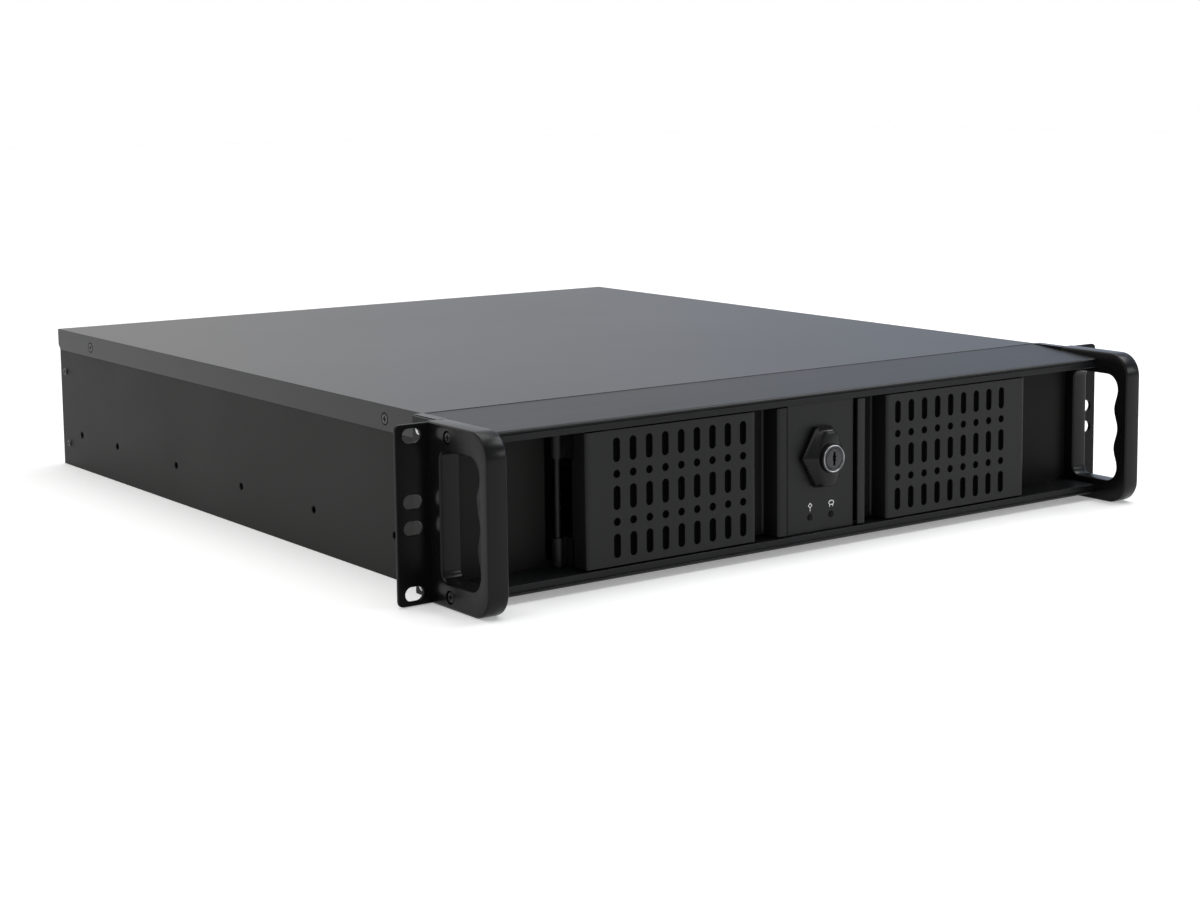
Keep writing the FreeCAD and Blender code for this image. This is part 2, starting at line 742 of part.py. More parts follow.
def make_lamps():
    """Board on the lock panel's lower fold with two lamps that look out through the panel."""
    board = new_body("lamp_board")
    low = FLOOR + 0.3 + 1.2
    back = ahead(size("lock_panel_face")) + 8.4
    pad(board, "XZ", back, 1.6, lambda s: rectangle(s, -14, low, 14, low + 12))
    lamps = new_body("indicator_lamps")
    front = ahead(size("lock_panel_face")) - 0.3

    def lenses(s):
        for side in (-1, 1):
            rod(s, size("led_across") * side, size("led_height"), size("led_radius"), 8)

    pad(lamps, "XZ", front, back - front, lenses)


# ---------------------------------------------------------------- handles and rack angles

def make_handle():
    """Right cast handle: closed loop with a finger-waved grip, and its end plate."""
    body = new_body("right_handle")
    reach = -size("handle_reach")
    bar, grip, heel = size("handle_bar"), size("handle_grip"), size("handle_heel")
    corner = size("handle_corner")
    thick = size("handle_thick")

    def block(s):
        rectangle(s, ahead(reach), 0, ahead(0), TALL)

    pad(body, "YZ", HALF, thick, block)

    def hollow(s):
        low, high = bar, TALL - bar
        step = (high - low) / 3
        y = ahead(reach + grip)
        points = [(ahead(-heel), low), (ahead(-heel), high), (y, high, size("finger_depth")),
                  (y, high - step, size("finger_depth")), (y, low + step, size("finger_depth")),
                  (y, low)]
        polygon(s, points)

    pocket(body, "YZ", HALF - 1, thick + 2, hollow)
    soften(body, corner, lambda e: runs_along(e, Vector(1, 0, 0))
           and near(e.Vertexes[0].Y, ahead(reach)))
    soften(body, 5.0, lambda e: runs_along(e, Vector(1, 0, 0))
           and near(e.Vertexes[0].Y, ahead(-heel)))
    soften(body, size("handle_round"), lambda e: near(e.BoundBox.XMin, HALF + thick)
           and e.BoundBox.YMin < ahead(-1).value, "Chamfer")
    pad(body, "YZ", HALF, size("plate_thick"),
        lambda s: rectangle(s, ahead(0), 0, WALL_FRONT, TALL))

    def holes(s):
        for z in port_heights():
            drill(s, ahead(size("port_front")), z, 1.7, 6)
            drill(s, ahead(size("port_rear")), z, 1.7, 6)

    pocket(body, "YZ", HALF - 1, thick + 2, holes)

    def sinks(s):
        for z in port_heights():
            drill(s, ahead(size("port_front")), z, 3.4, 12)

    pocket(body, "YZ", HALF + thick - 2.2, 4, sinks)
    return body


def port_heights():
    return size("port_rise"), TALL - size("port_rise")


def make_rack_angle():
    """Right rack angle: slotted flange, with a leg fixed to the handle's end plate."""
    body = new_body("right_rack_angle")
    gauge = size("angle_gauge")
    inner = HALF + size("plate_thick")
    edge = size("rack_width") / 2
    low = size("rail_edge")
    corner = size("angle_round")
    pad(body, "XZ", ahead(0), gauge, lambda s: polygon(
        s, [(inner, low)]
        + around(edge - corner, low + corner, corner, -90, 0, 4)
        + around(edge - corner, TALL - low - corner, corner, 0, 90, 4)
        + [(inner, TALL - low)]))
    pad(body, "XZ", ahead(gauge), size("angle_leg"),
        lambda s: rectangle(s, inner, low, inner + gauge, TALL - low))

    def slots(s):
        for rise in (size("slot_rise"), size("slot_rise_inner")):
            for side in (-1, 1):
                obround(s, size("slot_span") / 2, MIDDLE + rise * (side / 2),
                        size("slot_length"), size("slot_width"))

    pocket(body, "XZ", ahead(-1), gauge + 2, slots)

    def holes(s):
        for z in port_heights():
            drill(s, ahead(size("port_rear")), z, 1.7, 6)

    pocket(body, "YZ", inner - 1, gauge + 2, holes)
    return body


# ---------------------------------------------------------------- screws

def side_screws(label, spots, under_head, head_radius, head_thick, shank_radius, length,
                facets=12):
    """Screws that run along X into both sides of the case, with heads outwards."""
    body = new_body(label)
    heads = pad(body, "YZ", under_head, head_thick,
                lambda s: [rod(s, y, z, head_radius, facets) for y, z in spots])
    shanks = pad(body, "YZ", under_head - length, length,
                 lambda s: [rod(s, y, z, shank_radius, 4) for y, z in spots])
    twin = body.newObject("PartDesign::Mirrored", label + "_other_side")
    twin.Originals = [heads, shanks]
    twin.MirrorPlane = ([f for f in body.Origin.OriginFeatures if f.Role == "YZ_Plane"][0], [""])
    body.Tip = twin
    return body


def floor_screws(label, spots, under_head, head_radius, head_thick, shank_radius, length):
    """Upright screws with their heads on top."""
    body = new_body(label)
    pad(body, "XY", under_head, head_thick,
        lambda s: [rod(s, x, y, head_radius) for x, y in spots])
    pad(body, "XY", dim(under_head) - length, length,
        lambda s: [rod(s, x, y, shank_radius, 4) for x, y in spots])
    return body


def make_screws():
    ports = [(ahead(size("port_front")), z) for z in port_heights()]
    side_screws("handle_screws", ports, HALF + size("handle_thick") - 2.2, 3.0, 1.8, 1.4, 22.0)
    ports = [(ahead(size("port_rear")), z) for z in port_heights()]
    side_screws("rack_angle_screws", ports, HALF + size("plate_thick") + size("angle_gauge"),
                3.0, 2.0, 1.4, 16.0)
    spots = [(ahead(y), COVER_SCREW_Z) for y in COVER_SCREWS]
    side_screws("cover_screws", spots, HALF, 3.0, size("cover_gauge"), 1.5, 4.0)
    spots = [(ahead(y), dim(z)) for y, z in REAR_SCREWS]
    side_screws("rear_panel_screws", spots, HALF, 2.6, 0.9, 1.4, 4.0, facets=8)


# ---------------------------------------------------------------- fans

def make_fan(side, name):
    """Square fan: moulded frame with a motor plate on four struts, and its rotor."""
    frame = new_body(name + "_fan_frame")
    half = size("fan_size") / 2
    thick, bore = size("fan_thick"), size("fan_bore")
    cut = half - 3
    pad(frame, "XZ", 0, thick, lambda s: polygon(s, [
        (-half, -cut), (-cut, -half), (cut, -half), (half, -cut), (half, cut), (cut, half),
        (-cut, half), (-half, cut)]))

    def bores(s):
        drill(s, 0, 0, bore, 28)
        for dx in (-1, 1):
            for dz in (-1, 1):
                drill(s, size("fan_bolt_span") * (dx / 2), size("fan_bolt_span") * (dz / 2),
                      1.7, 4)

    pocket(frame, "XZ", -1, thick + 2, bores)
    pad(frame, "XZ", thick - 3, 3, lambda s: rod(s, 0, 0, size("hub_radius") - 1, 16))
    for across in (True, False):
        a, b = (bore + 0.8, dim(2)) if across else (dim(2), bore + 0.8)
        pad(frame, "XZ", thick - 2.6, 2.6, lambda s: rectangle(s, -a, -b, a, b))
    pocket(frame, "XZ", thick - 4, 3.4, lambda s: drill(s, 0, 0, 1.55))
    place(frame, FAN_X * side, WALL_FRONT + GAUGE, MIDDLE)

    rotor = new_body(name + "_fan_rotor")
    hub = pad(rotor, "XZ", 2, thick - 5.6, lambda s: rod(s, 0, 0, size("hub_radius"), 14))
    pad(rotor, "XZ", thick - 3.8, 2.8, lambda s: circle(s, 0, 0, 1.5))
    root = size("hub_radius") - 2
    blade = pad(rotor, "XY", root, size("fan_blade_tip") - root, lambda s: polygon(
        s, [(-7.5, 4), (-6.2, 4), (2.2, 10.4), (8.5, thick - 6), (7.2, thick - 6),
            (1.2, 11.3)]))
    ring = rotor.newObject("PartDesign::PolarPattern", name + "_fan_rotor_blades")
    ring.Originals = [blade]
    ring.Axis = (hub.Profile[0], ["N_Axis"])
    ring.Angle = 360
    ring.Occurrences = 7
    rotor.Tip = ring
    place(rotor, FAN_X * side, WALL_FRONT + GAUGE, MIDDLE)


def make_fan_bolts():
    """Eight long bolts that draw the fans against the front wall."""
    body = new_body("fan_bolts")
    back = WALL_FRONT + GAUGE + size("fan_thick")
    spots = [(FAN_X * side + size("fan_bolt_span") * (dx / 2),
              MIDDLE + size("fan_bolt_span") * (dz / 2))
             for side in (-1, 1) for dx in (-1, 1) for dz in (-1, 1)]
    pad(body, "XZ", back, 2, lambda s: [rod(s, x, z, 2.8) for x, z in spots])
    pad(body, "XZ", WALL_FRONT + 0.1, back - WALL_FRONT - 0.1,
        lambda s: [rod(s, x, z, 1.45, 4) for x, z in spots])


# ---------------------------------------------------------------- controls behind the doors

def make_controls():
    """Power and reset buttons in their switch block, and the two data sockets."""
    back = ahead(size("inner_face")) + size("inner_gauge")
    x = -size("control_across")
    block = new_body("switch_block")
    pad(block, "XZ", back, 12, lambda s: rectangle(
        s, x - 9, size("reset_height") - 7, x + 9, size("power_height") + 9))

    def bores(s):
        drill(s, x, size("power_height"), size("power_radius") + 0.08, 20)
        drill(s, x, size("reset_height"), size("reset_radius") + 0.08, 12)

    pocket(block, "XZ", back - 1, 9, bores)
    for label, z, radius, sides in (
            ("power_button", size("power_height"), size("power_radius"), 20),
            ("reset_button", size("reset_height"), size("reset_radius"), 12)):
        button = new_body(label)
        pad(button, "XZ", back - 3.6, 9, lambda s: rod(s, x, z, radius, sides))

    ports = new_body("data_sockets")
    x = size("control_across")
    for z in (size("usb_upper"), size("usb_lower")):
        pad(ports, "XZ", back - 1.6, 14, lambda s: rectangle(s, x - 3.5, z - 7.1, x + 3.5, z + 7.1))
        pocket(ports, "XZ", back - 2.6, 13.6,
               lambda s: rectangle(s, x - 2.9, z - 6.4, x + 2.9, z + 6.4))
        pad(ports, "XZ", back, 12, lambda s: rectangle(s, x + 0.6, z - 5.4, x + 2.3, z + 5.4))
    pad(ports, "XZ", back + 12.4, 1.6, lambda s: rectangle(
        s, x - 9, size("usb_lower") - 10, x + 9, size("usb_upper") + 10))


# ---------------------------------------------------------------- inside the case

def cage_feet():
    spots = []
    for side in (-1, 1):
        for out in (-1, 1):
            for along in (16, 134):
                spots.append((size("cage_across") * side + (size("drive_width") / 2 + 6) * out,
                              ahead(size("cage_front") + along)))
    return spots


def make_cage(side, name):
    """Folded carrier for two drives, one above the other, screwed to the base."""
    body = new_body(name + "_drive_cage")
    centre = size("cage_across") * side
    half, tall = size("drive_width") / 2, size("cage_tall")
    foot = half + 11

    def section(s):
        polygon(s, [
            (centre - foot, GAUGE), (centre - half, GAUGE), (centre - half, GAUGE + tall - 1),
            (centre + half, GAUGE + tall - 1), (centre + half, GAUGE), (centre + foot, GAUGE),
            (centre + foot, GAUGE + 1), (centre + half + 1, GAUGE + 1),
            (centre + half + 1, GAUGE + tall), (centre - half - 1, GAUGE + tall),
            (centre - half - 1, GAUGE + 1), (centre - foot, GAUGE + 1)])

    pad(body, "XZ", ahead(size("cage_front")), size("cage_length"), section)

    def drive_holes(s):
        for y in (28.5, 130.1):
            for z in (7.5, 36.5):
                drill(s, ahead(size("cage_front") + y), GAUGE + z, 1.7, 4)

    pocket(body, "YZ", centre - foot, foot * 2, drive_holes)
    feet = [f for f in cage_feet() if f[0].value * side > 0]
    pocket(body, "XY", GAUGE - 1, 3, lambda s: [drill(s, x, y, 1.5, 4) for x, y in feet])
    return body


def bracket_feet():
    middle = REAR - size("supply_length") - 10
    return [(size("supply_across") + dx, middle) for dx in (-36, 36)]


def make_supply_bracket():
    """Angle on the base that the front end of a power supply stands against."""
    body = new_body("supply_bracket")
    wide = size("supply_wide") / 2
    x = size("supply_across")
    back = REAR - size("supply_length")
    front = back - 18
    pad(body, "YZ", x - wide, wide * 2, lambda s: polygon(s, [
        (front, GAUGE), (back, GAUGE), (back, GAUGE + 22), (back - GAUGE, GAUGE + 22),
        (back - GAUGE, GAUGE * 2), (front, GAUGE * 2)]))
    pocket(body, "XY", 0, 4, lambda s: [drill(s, fx, fy, 1.5, 4) for fx, fy in bracket_feet()])
    return body


def standoff_spots():
    first = size("shield_left") + size("shield_wide") - 3.2
    return [(first - dx, REAR - 14 - dy)
            for dx in (0, 124.46, 281.94) for dy in (0, 154.94, 227.33)]


def make_standoffs():
    """Nine brass hexagon pillars for the board, threaded into the base."""
    body = new_body("board_standoffs")
    r = size("standoff_radius")

    pad(body, "XY", GAUGE, size("standoff_tall"),
        lambda s: [rod(s, x, y, r) for x, y in standoff_spots()])
    pad(body, "XY", 0.2, GAUGE - 0.2,
        lambda s: [rod(s, x, y, 1.2, 4) for x, y in standoff_spots()])
    pocket(body, "XY", GAUGE + 1, size("standoff_tall"),
           lambda s: [drill(s, x, y, 1.25, 4) for x, y in standoff_spots()])
    return body


def make_cross_brace():
    """Channel across the case under the lips, which stiffens the side walls."""
    body = new_body("cross_brace")
    front, back = ahead(size("brace_front")), ahead(size("brace_front") + size("brace_wide"))
    high, low = TOP - GAUGE, TOP - GAUGE - 6
    pad(body, "YZ", -INNER, INNER * 2, lambda s: polygon(s, [
        (front, low), (front + GAUGE, low), (front + GAUGE, high - GAUGE),
        (back - GAUGE, high - GAUGE), (back - GAUGE, low), (back, low), (back, high),
        (front, high)]))
    return body


# ---------------------------------------------------------------- card slots

def make_slot_covers():
    """Seven blank covers over the card slots, with tabs screwed down on a ledge inside."""
    face = REAR - GAUGE
    thin = dim(1.0)
    tab = TOP - 4
    covers = new_body("slot_covers")
    half = size("cover_wide") / 2
    x = size("slot_first")
    plate = pad(covers, "XZ", face - thin, thin,
                lambda s: rectangle(s, x - half, 6, x + half, tab + thin))
    shelf = pad(covers, "XZ", face - 13, dim(13) - thin,
                lambda s: rectangle(s, x - half, tab, x + half, tab + thin))
    hole = pocket(covers, "XY", tab - 1, 3, lambda s: drill(s, x, face - 8, 1.5, 4))
    row(covers, [plate, shelf, hole], plate, "H_Axis", size("slot_pitch"), 7, backwards=True)

    ledge = new_body("slot_ledge")
    right, left = x + half + 3, x - size("slot_pitch") * 6 - half - 2
    pad(ledge, "YZ", left, right - left, lambda s: polygon(s, [
        (face - thin, tab - 13), (face - thin, tab), (face - 14, tab), (face - 14, tab - GAUGE),
        (face - thin - GAUGE, tab - GAUGE), (face - thin - GAUGE, tab - 13)]))

    def ends(s):
        rectangle(s, left, tab - 13, left + 1.6, tab)
        rectangle(s, right - 2.6, tab - 13, right, tab)

    pad(ledge, "XZ", face - thin, thin, ends)
    hole = pocket(ledge, "XY", tab - 3, 4, lambda s: drill(s, x, face - 8, 1.45, 4))
    row(ledge, [hole], hole, "H_Axis", size("slot_pitch"), 7, backwards=True)

    spots = [(x - size("slot_pitch") * i, face - 8) for i in range(7)]
    floor_screws("slot_screws", spots, tab + thin, 3.0, 1.6, 1.4, 6.0)


# ---------------------------------------------------------------- the whole case

make_tray()
make_cover()
make_rear_panel()
make_rail("bezel_top_rail", True)
make_rail("bezel_bottom_rail", False)
make_inner_panel()
mirrored(make_door(), "left_door")
mirrored(make_filter(), "left_filter")
make_hinge_pins()
make_lock_panel()
make_lock()
make_lamps()
mirrored(make_handle(), "left_handle")
mirrored(make_rack_angle(), "left_rack_angle")
make_screws()
for fan_side, fan_name in ((-1, "left"), (1, "right")):
    make_fan(fan_side, fan_name)
make_fan_bolts()
make_controls()
for cage_side, cage_name in ((-1, "left"), (1, "right")):
    make_cage(cage_side, cage_name)
floor_screws("cage_screws", cage_feet(), GAUGE + 1, 2.8, 1.8, 1.5, 2.0)
make_supply_bracket()
floor_screws("bracket_screws", bracket_feet(), GAUGE * 2, 2.8, 1.8, 1.5, 2.2)
make_standoffs()
make_cross_brace()
make_slot_covers()

doc.recompute()
for thing in doc.Objects:
    if any(word in thing.State for word in ("Invalid", "Error")):
        raise RuntimeError("%s is in error" % thing.Label)
for piece in PIECES:
    shape = piece.Shape
    if shape.isNull() or not shape.isValid() or not shape.Solids:
        raise RuntimeError("%s has no valid solid" % piece.Label)
    shape.exportStep(os.path.join("parts", piece.Label + ".step"))
print("%d pieces written" % len(PIECES))
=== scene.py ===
"""Finer pieces, finishes, studio and camera for the rackmount server case."""
import json
import math

import bmesh
import bpy
from mathutils import Matrix, Vector


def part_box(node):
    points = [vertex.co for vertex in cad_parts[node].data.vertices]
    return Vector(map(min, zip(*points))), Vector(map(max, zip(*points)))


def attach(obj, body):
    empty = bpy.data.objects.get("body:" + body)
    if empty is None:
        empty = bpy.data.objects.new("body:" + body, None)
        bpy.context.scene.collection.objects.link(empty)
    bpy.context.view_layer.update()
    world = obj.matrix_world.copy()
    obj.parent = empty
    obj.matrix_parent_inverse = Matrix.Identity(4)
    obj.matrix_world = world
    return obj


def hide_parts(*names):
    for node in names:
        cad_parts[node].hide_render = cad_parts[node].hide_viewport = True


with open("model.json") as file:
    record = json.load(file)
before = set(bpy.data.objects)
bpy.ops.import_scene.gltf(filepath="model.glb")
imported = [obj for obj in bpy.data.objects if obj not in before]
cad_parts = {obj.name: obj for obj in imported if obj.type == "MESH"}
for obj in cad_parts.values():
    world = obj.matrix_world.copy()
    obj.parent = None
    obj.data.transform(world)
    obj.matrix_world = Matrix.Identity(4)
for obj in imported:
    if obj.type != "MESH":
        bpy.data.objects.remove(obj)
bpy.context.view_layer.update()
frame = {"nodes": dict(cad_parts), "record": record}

MM = 0.001
NODES = frame["nodes"]
SLOT_OF = {part["node"]: part["material_slot"] for part in frame["record"]["subparts"]}
BODY_OF = {node: body for body, held in frame["record"]["behaviour"]["bodies"].items()
           for node in held}
FLANGE_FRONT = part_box("right_rack_angle")[0].y
CASE_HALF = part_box("chassis_tray")[1].x
CASE_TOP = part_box("top_cover")[1].z
PANEL_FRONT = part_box("lock_panel")[0].y
DOOR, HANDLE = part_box("right_door"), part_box("right_handle")
KNOB, RING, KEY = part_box("lock_knob"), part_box("lock_ring"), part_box("key_cylinder")
LOCK_HEIGHT = (RING[0].z + RING[1].z) / 2
HINGE = next(joint["pos_m"] for joint in frame["record"]["behaviour"]["joints"]
             if joint["name"] == "right_door_hinge")


def behind(distance):
    """Place along Y of a point some millimetres behind the front plane of the flanges."""
    return FLANGE_FRONT + distance * MM


def set_back(place):
    """How many millimetres a place along Y lies behind the front plane of the flanges."""
    return (place - FLANGE_FRONT) / MM


# ---------------------------------------------------------------- node helper

def step(tree, kind, links=(), values=(), **settings):
    """One node: settings are its own, links and values go to its inputs by name or index."""
    node = tree.nodes.new(kind)
    for key, value in settings.items():
        setattr(node, key, value)
    for key, value in values:
        node.inputs[key].default_value = value
    for key, source in links:
        tree.links.new(source, node.inputs[key])
    return node


# ---------------------------------------------------------------- shared surface effects

def effect_group(name, inputs, outputs):
    """Shader group with named numbers in and out, and its two end nodes."""
    group = bpy.data.node_groups.new(name, "ShaderNodeTree")
    for label, value in inputs:
        socket = group.interface.new_socket(name=label, in_out="INPUT",
                                            socket_type="NodeSocketFloat")
        socket.default_value = value
    for label in outputs:
        group.interface.new_socket(name=label, in_out="OUTPUT", socket_type="NodeSocketFloat")
    return group, group.nodes.new("NodeGroupInput"), group.nodes.new("NodeGroupOutput")


def noise(group, vector, scale, detail, rough=0.5):
    texture = step(group, "ShaderNodeTexNoise", [("Vector", vector), ("Scale", scale)],
                   [("Detail", detail), ("Roughness", rough)])
    return texture.outputs["Fac"]


def spread_out(group, value, low, high):
    """Widens the middle of a noise to the full range from 0 to 1."""
    ranged = step(group, "ShaderNodeMapRange", [("Value", value)],
                  [("From Min", low), ("From Max", high)])
    return ranged.outputs["Result"]


def around_value(group, centre, swing, value):
    """centre + swing * (value - 0.5), for a roughness that drifts over the surface."""
    shifted = step(group, "ShaderNodeMath", [(0, value)], [(1, 0.5)], operation="SUBTRACT")
    total = step(group, "ShaderNodeMath", [(0, shifted.outputs[0]), (1, swing), (2, centre)],
                 operation="MULTIPLY_ADD")
    return total.outputs[0]


def coating_effect():
    """Sprayed or powder coat: a fine grain, and a slow drift in tone and roughness."""
    group, given, made = effect_group(
        "coating_grain", [("Grain", 1500.0), ("Drift", 14.0), ("Roughness", 0.4), ("Swing", 0.1)],
        ["Height", "Tone", "Roughness"])
    place = group.nodes.new("ShaderNodeTexCoord").outputs["Object"]
    grain = noise(group, place, given.outputs["Grain"], 2.0)
    drift = spread_out(group, noise(group, place, given.outputs["Drift"], 4.0), 0.3, 0.7)
    group.links.new(grain, made.inputs["Height"])
    group.links.new(drift, made.inputs["Tone"])
    group.links.new(around_value(group, given.outputs["Roughness"], given.outputs["Swing"], drift),
                    made.inputs["Roughness"])
    return group


def drawn_effect():
    """Drawn or brushed metal: fine lines that run along X, over a slow drift."""
    group, given, made = effect_group(
        "drawn_lines", [("Lines", 900.0), ("Drift", 10.0), ("Roughness", 0.3), ("Swing", 0.1)],
        ["Height", "Tone", "Roughness"])
    place = group.nodes.new("ShaderNodeTexCoord").outputs["Object"]
    stretch = step(group, "ShaderNodeMapping", [("Vector", place)],
                   [("Scale", (0.012, 1.0, 1.0))])
    lines = noise(group, stretch.outputs["Vector"], given.outputs["Lines"], 3.0, 0.6)
    drift = spread_out(group, noise(group, place, given.outputs["Drift"], 3.0), 0.3, 0.7)
    group.links.new(lines, made.inputs["Height"])
    group.links.new(drift, made.inputs["Tone"])
    group.links.new(around_value(group, given.outputs["Roughness"], given.outputs["Swing"], lines),
                    made.inputs["Roughness"])
    return group


def crystal_effect():
    """Galvanised sheet: flat zinc crystals, each a little lighter or darker than the next."""
    group, given, made = effect_group(
        "zinc_crystals", [("Crystals", 110.0), ("Drift", 30.0), ("Roughness", 0.35),
                          ("Swing", 0.2)], ["Height", "Tone", "Roughness"])
    place = group.nodes.new("ShaderNodeTexCoord").outputs["Object"]
    cells = step(group, "ShaderNodeTexVoronoi", [
        ("Vector", place), ("Scale", given.outputs["Crystals"])])
    apart = step(group, "ShaderNodeSeparateColor", [("Color", cells.outputs["Color"])])
    drift = noise(group, place, given.outputs["Drift"], 5.0)
    group.links.new(drift, made.inputs["Height"])
    group.links.new(apart.outputs["Red"], made.inputs["Tone"])
    group.links.new(around_value(group, given.outputs["Roughness"], given.outputs["Swing"],
                                 apart.outputs["Green"]), made.inputs["Roughness"])
    return group


COATING, DRAWN, CRYSTALS = coating_effect(), drawn_effect(), crystal_effect()


# ---------------------------------------------------------------- finishes

def finish(name, dark, light, roughness, effect=COATING, scale=1500.0, drift=14.0, swing=0.08,
           relief=0.02, metallic=0.0, specular=0.5):
    """Material whose colour lies between two tones and whose relief is in millimetres."""
    material = bpy.data.materials.new(name)
    material.use_nodes = True
    tree = material.node_tree
    shader = tree.nodes["Principled BSDF"]
    surface = tree.nodes.new("ShaderNodeGroup")
    surface.node_tree = effect
    for socket, value in zip(surface.inputs, (scale, drift, roughness, swing)):
        socket.default_value = value
    tones = step(tree, "ShaderNodeMix", [("Factor", surface.outputs["Tone"])],
                 [("A", (*dark, 1.0)), ("B", (*light, 1.0))], data_type="RGBA")
    tree.links.new(tones.outputs["Result"], shader.inputs["Base Color"])
    tree.links.new(surface.outputs["Roughness"], shader.inputs["Roughness"])
    bump = step(tree, "ShaderNodeBump", [("Height", surface.outputs["Height"])],
                [("Strength", 0.6), ("Distance", relief * MM)])
    tree.links.new(bump.outputs["Normal"], shader.inputs["Normal"])
    shader.inputs["Metallic"].default_value = metallic
    shader.inputs["Specular IOR Level"].default_value = specular
    return material


FINISHES = {
    "powder_coat": finish("black_powder_coat", (0.011, 0.0107, 0.0102), (0.015, 0.0146, 0.014),
                          0.44, relief=0.03, specular=0.085),
    "cover_coat": finish("cover_powder_coat", (0.013, 0.0133, 0.0142), (0.016, 0.0165, 0.018),
                         0.33, drift=5.0, swing=0.02, relief=0.012, specular=0.22),
    "rail_coat": finish("satin_rail_coat", (0.006, 0.0063, 0.0068), (0.009, 0.0095, 0.0104),
                        0.34, effect=DRAWN, scale=700.0, relief=0.006, specular=0.16),
    "door_coat": finish("satin_door_coat", (0.008, 0.0083, 0.0084), (0.011, 0.0113, 0.0114),
                        0.33, relief=0.01, specular=0.19),
    "casting_coat": finish("casting_coat", (0.0045, 0.0045, 0.0048), (0.007, 0.007, 0.0074),
                           0.24, scale=900.0, relief=0.006, specular=0.15),
    "plated_steel": finish("bright_zinc_plate", (0.52, 0.53, 0.54), (0.66, 0.67, 0.68), 0.28,
                           scale=2500.0, relief=0.01, metallic=1.0),
    "black_screw": finish("black_oxide", (0.010, 0.010, 0.011), (0.018, 0.018, 0.020), 0.30,
                          scale=2500.0, relief=0.01, specular=0.4),
    "pin_steel": finish("blackened_pin_steel", (0.008, 0.008, 0.0085), (0.012, 0.012, 0.0125),
                        0.35, scale=2000.0, relief=0.005, specular=0.2),
    "chrome_ring": finish("dark_chrome", (0.17, 0.17, 0.18), (0.21, 0.21, 0.22), 0.2,
                          scale=800.0, relief=0.002, metallic=1.0, swing=0.04),
    "lock_face": finish("dark_lock_face", (0.035, 0.035, 0.037), (0.060, 0.060, 0.063), 0.34,
                        effect=DRAWN, scale=2400.0, relief=0.01, metallic=1.0),
    "black_plastic": finish("grained_black_plastic", (0.0035, 0.0035, 0.0038),
                            (0.0055, 0.0055, 0.0058), 0.22, scale=1800.0, relief=0.004,
                            specular=0.2),
    "gloss_black": finish("smooth_black_plastic", (0.010, 0.010, 0.011), (0.015, 0.015, 0.016),
                          0.22, scale=700.0, relief=0.004, specular=0.4),
    "lamp_lens": finish("smoked_lens", (0.003, 0.003, 0.0034), (0.006, 0.006, 0.0066), 0.3,
                        scale=900.0, relief=0.004, specular=0.06),
    "circuit_board": finish("green_solder_mask", (0.012, 0.10, 0.035), (0.02, 0.15, 0.055),
                            0.35, effect=DRAWN, scale=500.0, relief=0.02),
    "foam": finish("open_cell_foam", (0.0012, 0.0012, 0.0012), (0.0035, 0.0035, 0.0035), 0.9,
                   scale=900.0, drift=700.0, relief=0.5, specular=0.01),
    "galvanised": finish("galvanised_sheet", (0.36, 0.37, 0.37), (0.43, 0.44, 0.45), 0.38,
                         effect=CRYSTALS, scale=260.0, drift=60.0, swing=0.08, relief=0.01,
                         metallic=1.0),
    "brass": finish("turned_brass", (0.58, 0.42, 0.16), (0.70, 0.53, 0.24), 0.28,
                    effect=DRAWN, scale=1500.0, relief=0.01, metallic=1.0),
    "button_plastic": finish("grey_button_plastic", (0.08, 0.08, 0.082), (0.10, 0.10, 0.103),
                             0.42, relief=0.015),
}
# Darker, glossier copy of the black powder coat for the rack angles: its darker base colour is
# painted shade for flanges that face the dim front.
ANGLE_COAT_PAINTED_SHADE = finish("angle_coat_with_painted_shade", (0.004, 0.004, 0.0042), (0.006, 0.006, 0.0062), 0.30,
                    relief=0.01, specular=0.09)
MARK_INK = finish("white_print", (0.80, 0.80, 0.78), (0.88, 0.88, 0.86), 0.5, relief=0.004)

for node, thing in NODES.items():
    for held in thing.material_slots:
        held.material = FINISHES[SLOT_OF[node]]


# ---------------------------------------------------------------- making pieces

def new_piece(name, mesh, slot, body="case", stands_for=(), material=None):
    """Puts a finished mesh in the scene as a piece that rides on a body."""
    piece = bpy.data.objects.new(name, mesh)
    bpy.context.scene.collection.objects.link(piece)
    mesh.materials.clear()
    mesh.materials.append(material or FINISHES[slot])
    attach(piece, body)
    if stands_for:
        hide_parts(*stands_for)
    return piece


def settled(thing):
    """The plain mesh that an object gives with its modifiers; the object is removed."""
    bpy.context.view_layer.update()
    graph = bpy.context.evaluated_depsgraph_get()
    mesh = bpy.data.meshes.new_from_object(thing.evaluated_get(graph), depsgraph=graph)
    bpy.data.objects.remove(thing)
    return mesh


def loose(name, data):
    """A new object in the scene that isn't a piece yet."""
    thing = bpy.data.objects.new(name, data)
    bpy.context.scene.collection.objects.link(thing)
    return thing


def joined(name, meshes):
    """One mesh out of several; each keeps its own closed shells."""
    whole = bmesh.new()
    for mesh in meshes:
        whole.from_mesh(mesh)
    result = bpy.data.meshes.new(name)
    whole.to_mesh(result)
    whole.free()
    return result


def smooth_by_angle(mesh, degrees=32):
    """Smooth shading with sharp edges kept where faces meet at more than an angle."""
    shape = bmesh.new()
    shape.from_mesh(mesh)
    for face in shape.faces:
        face.smooth = True
    for edge in shape.edges:
        edge.smooth = edge.is_manifold and edge.calc_face_angle(0) < math.radians(degrees)
    shape.to_mesh(mesh)
    shape.free()
    return mesh


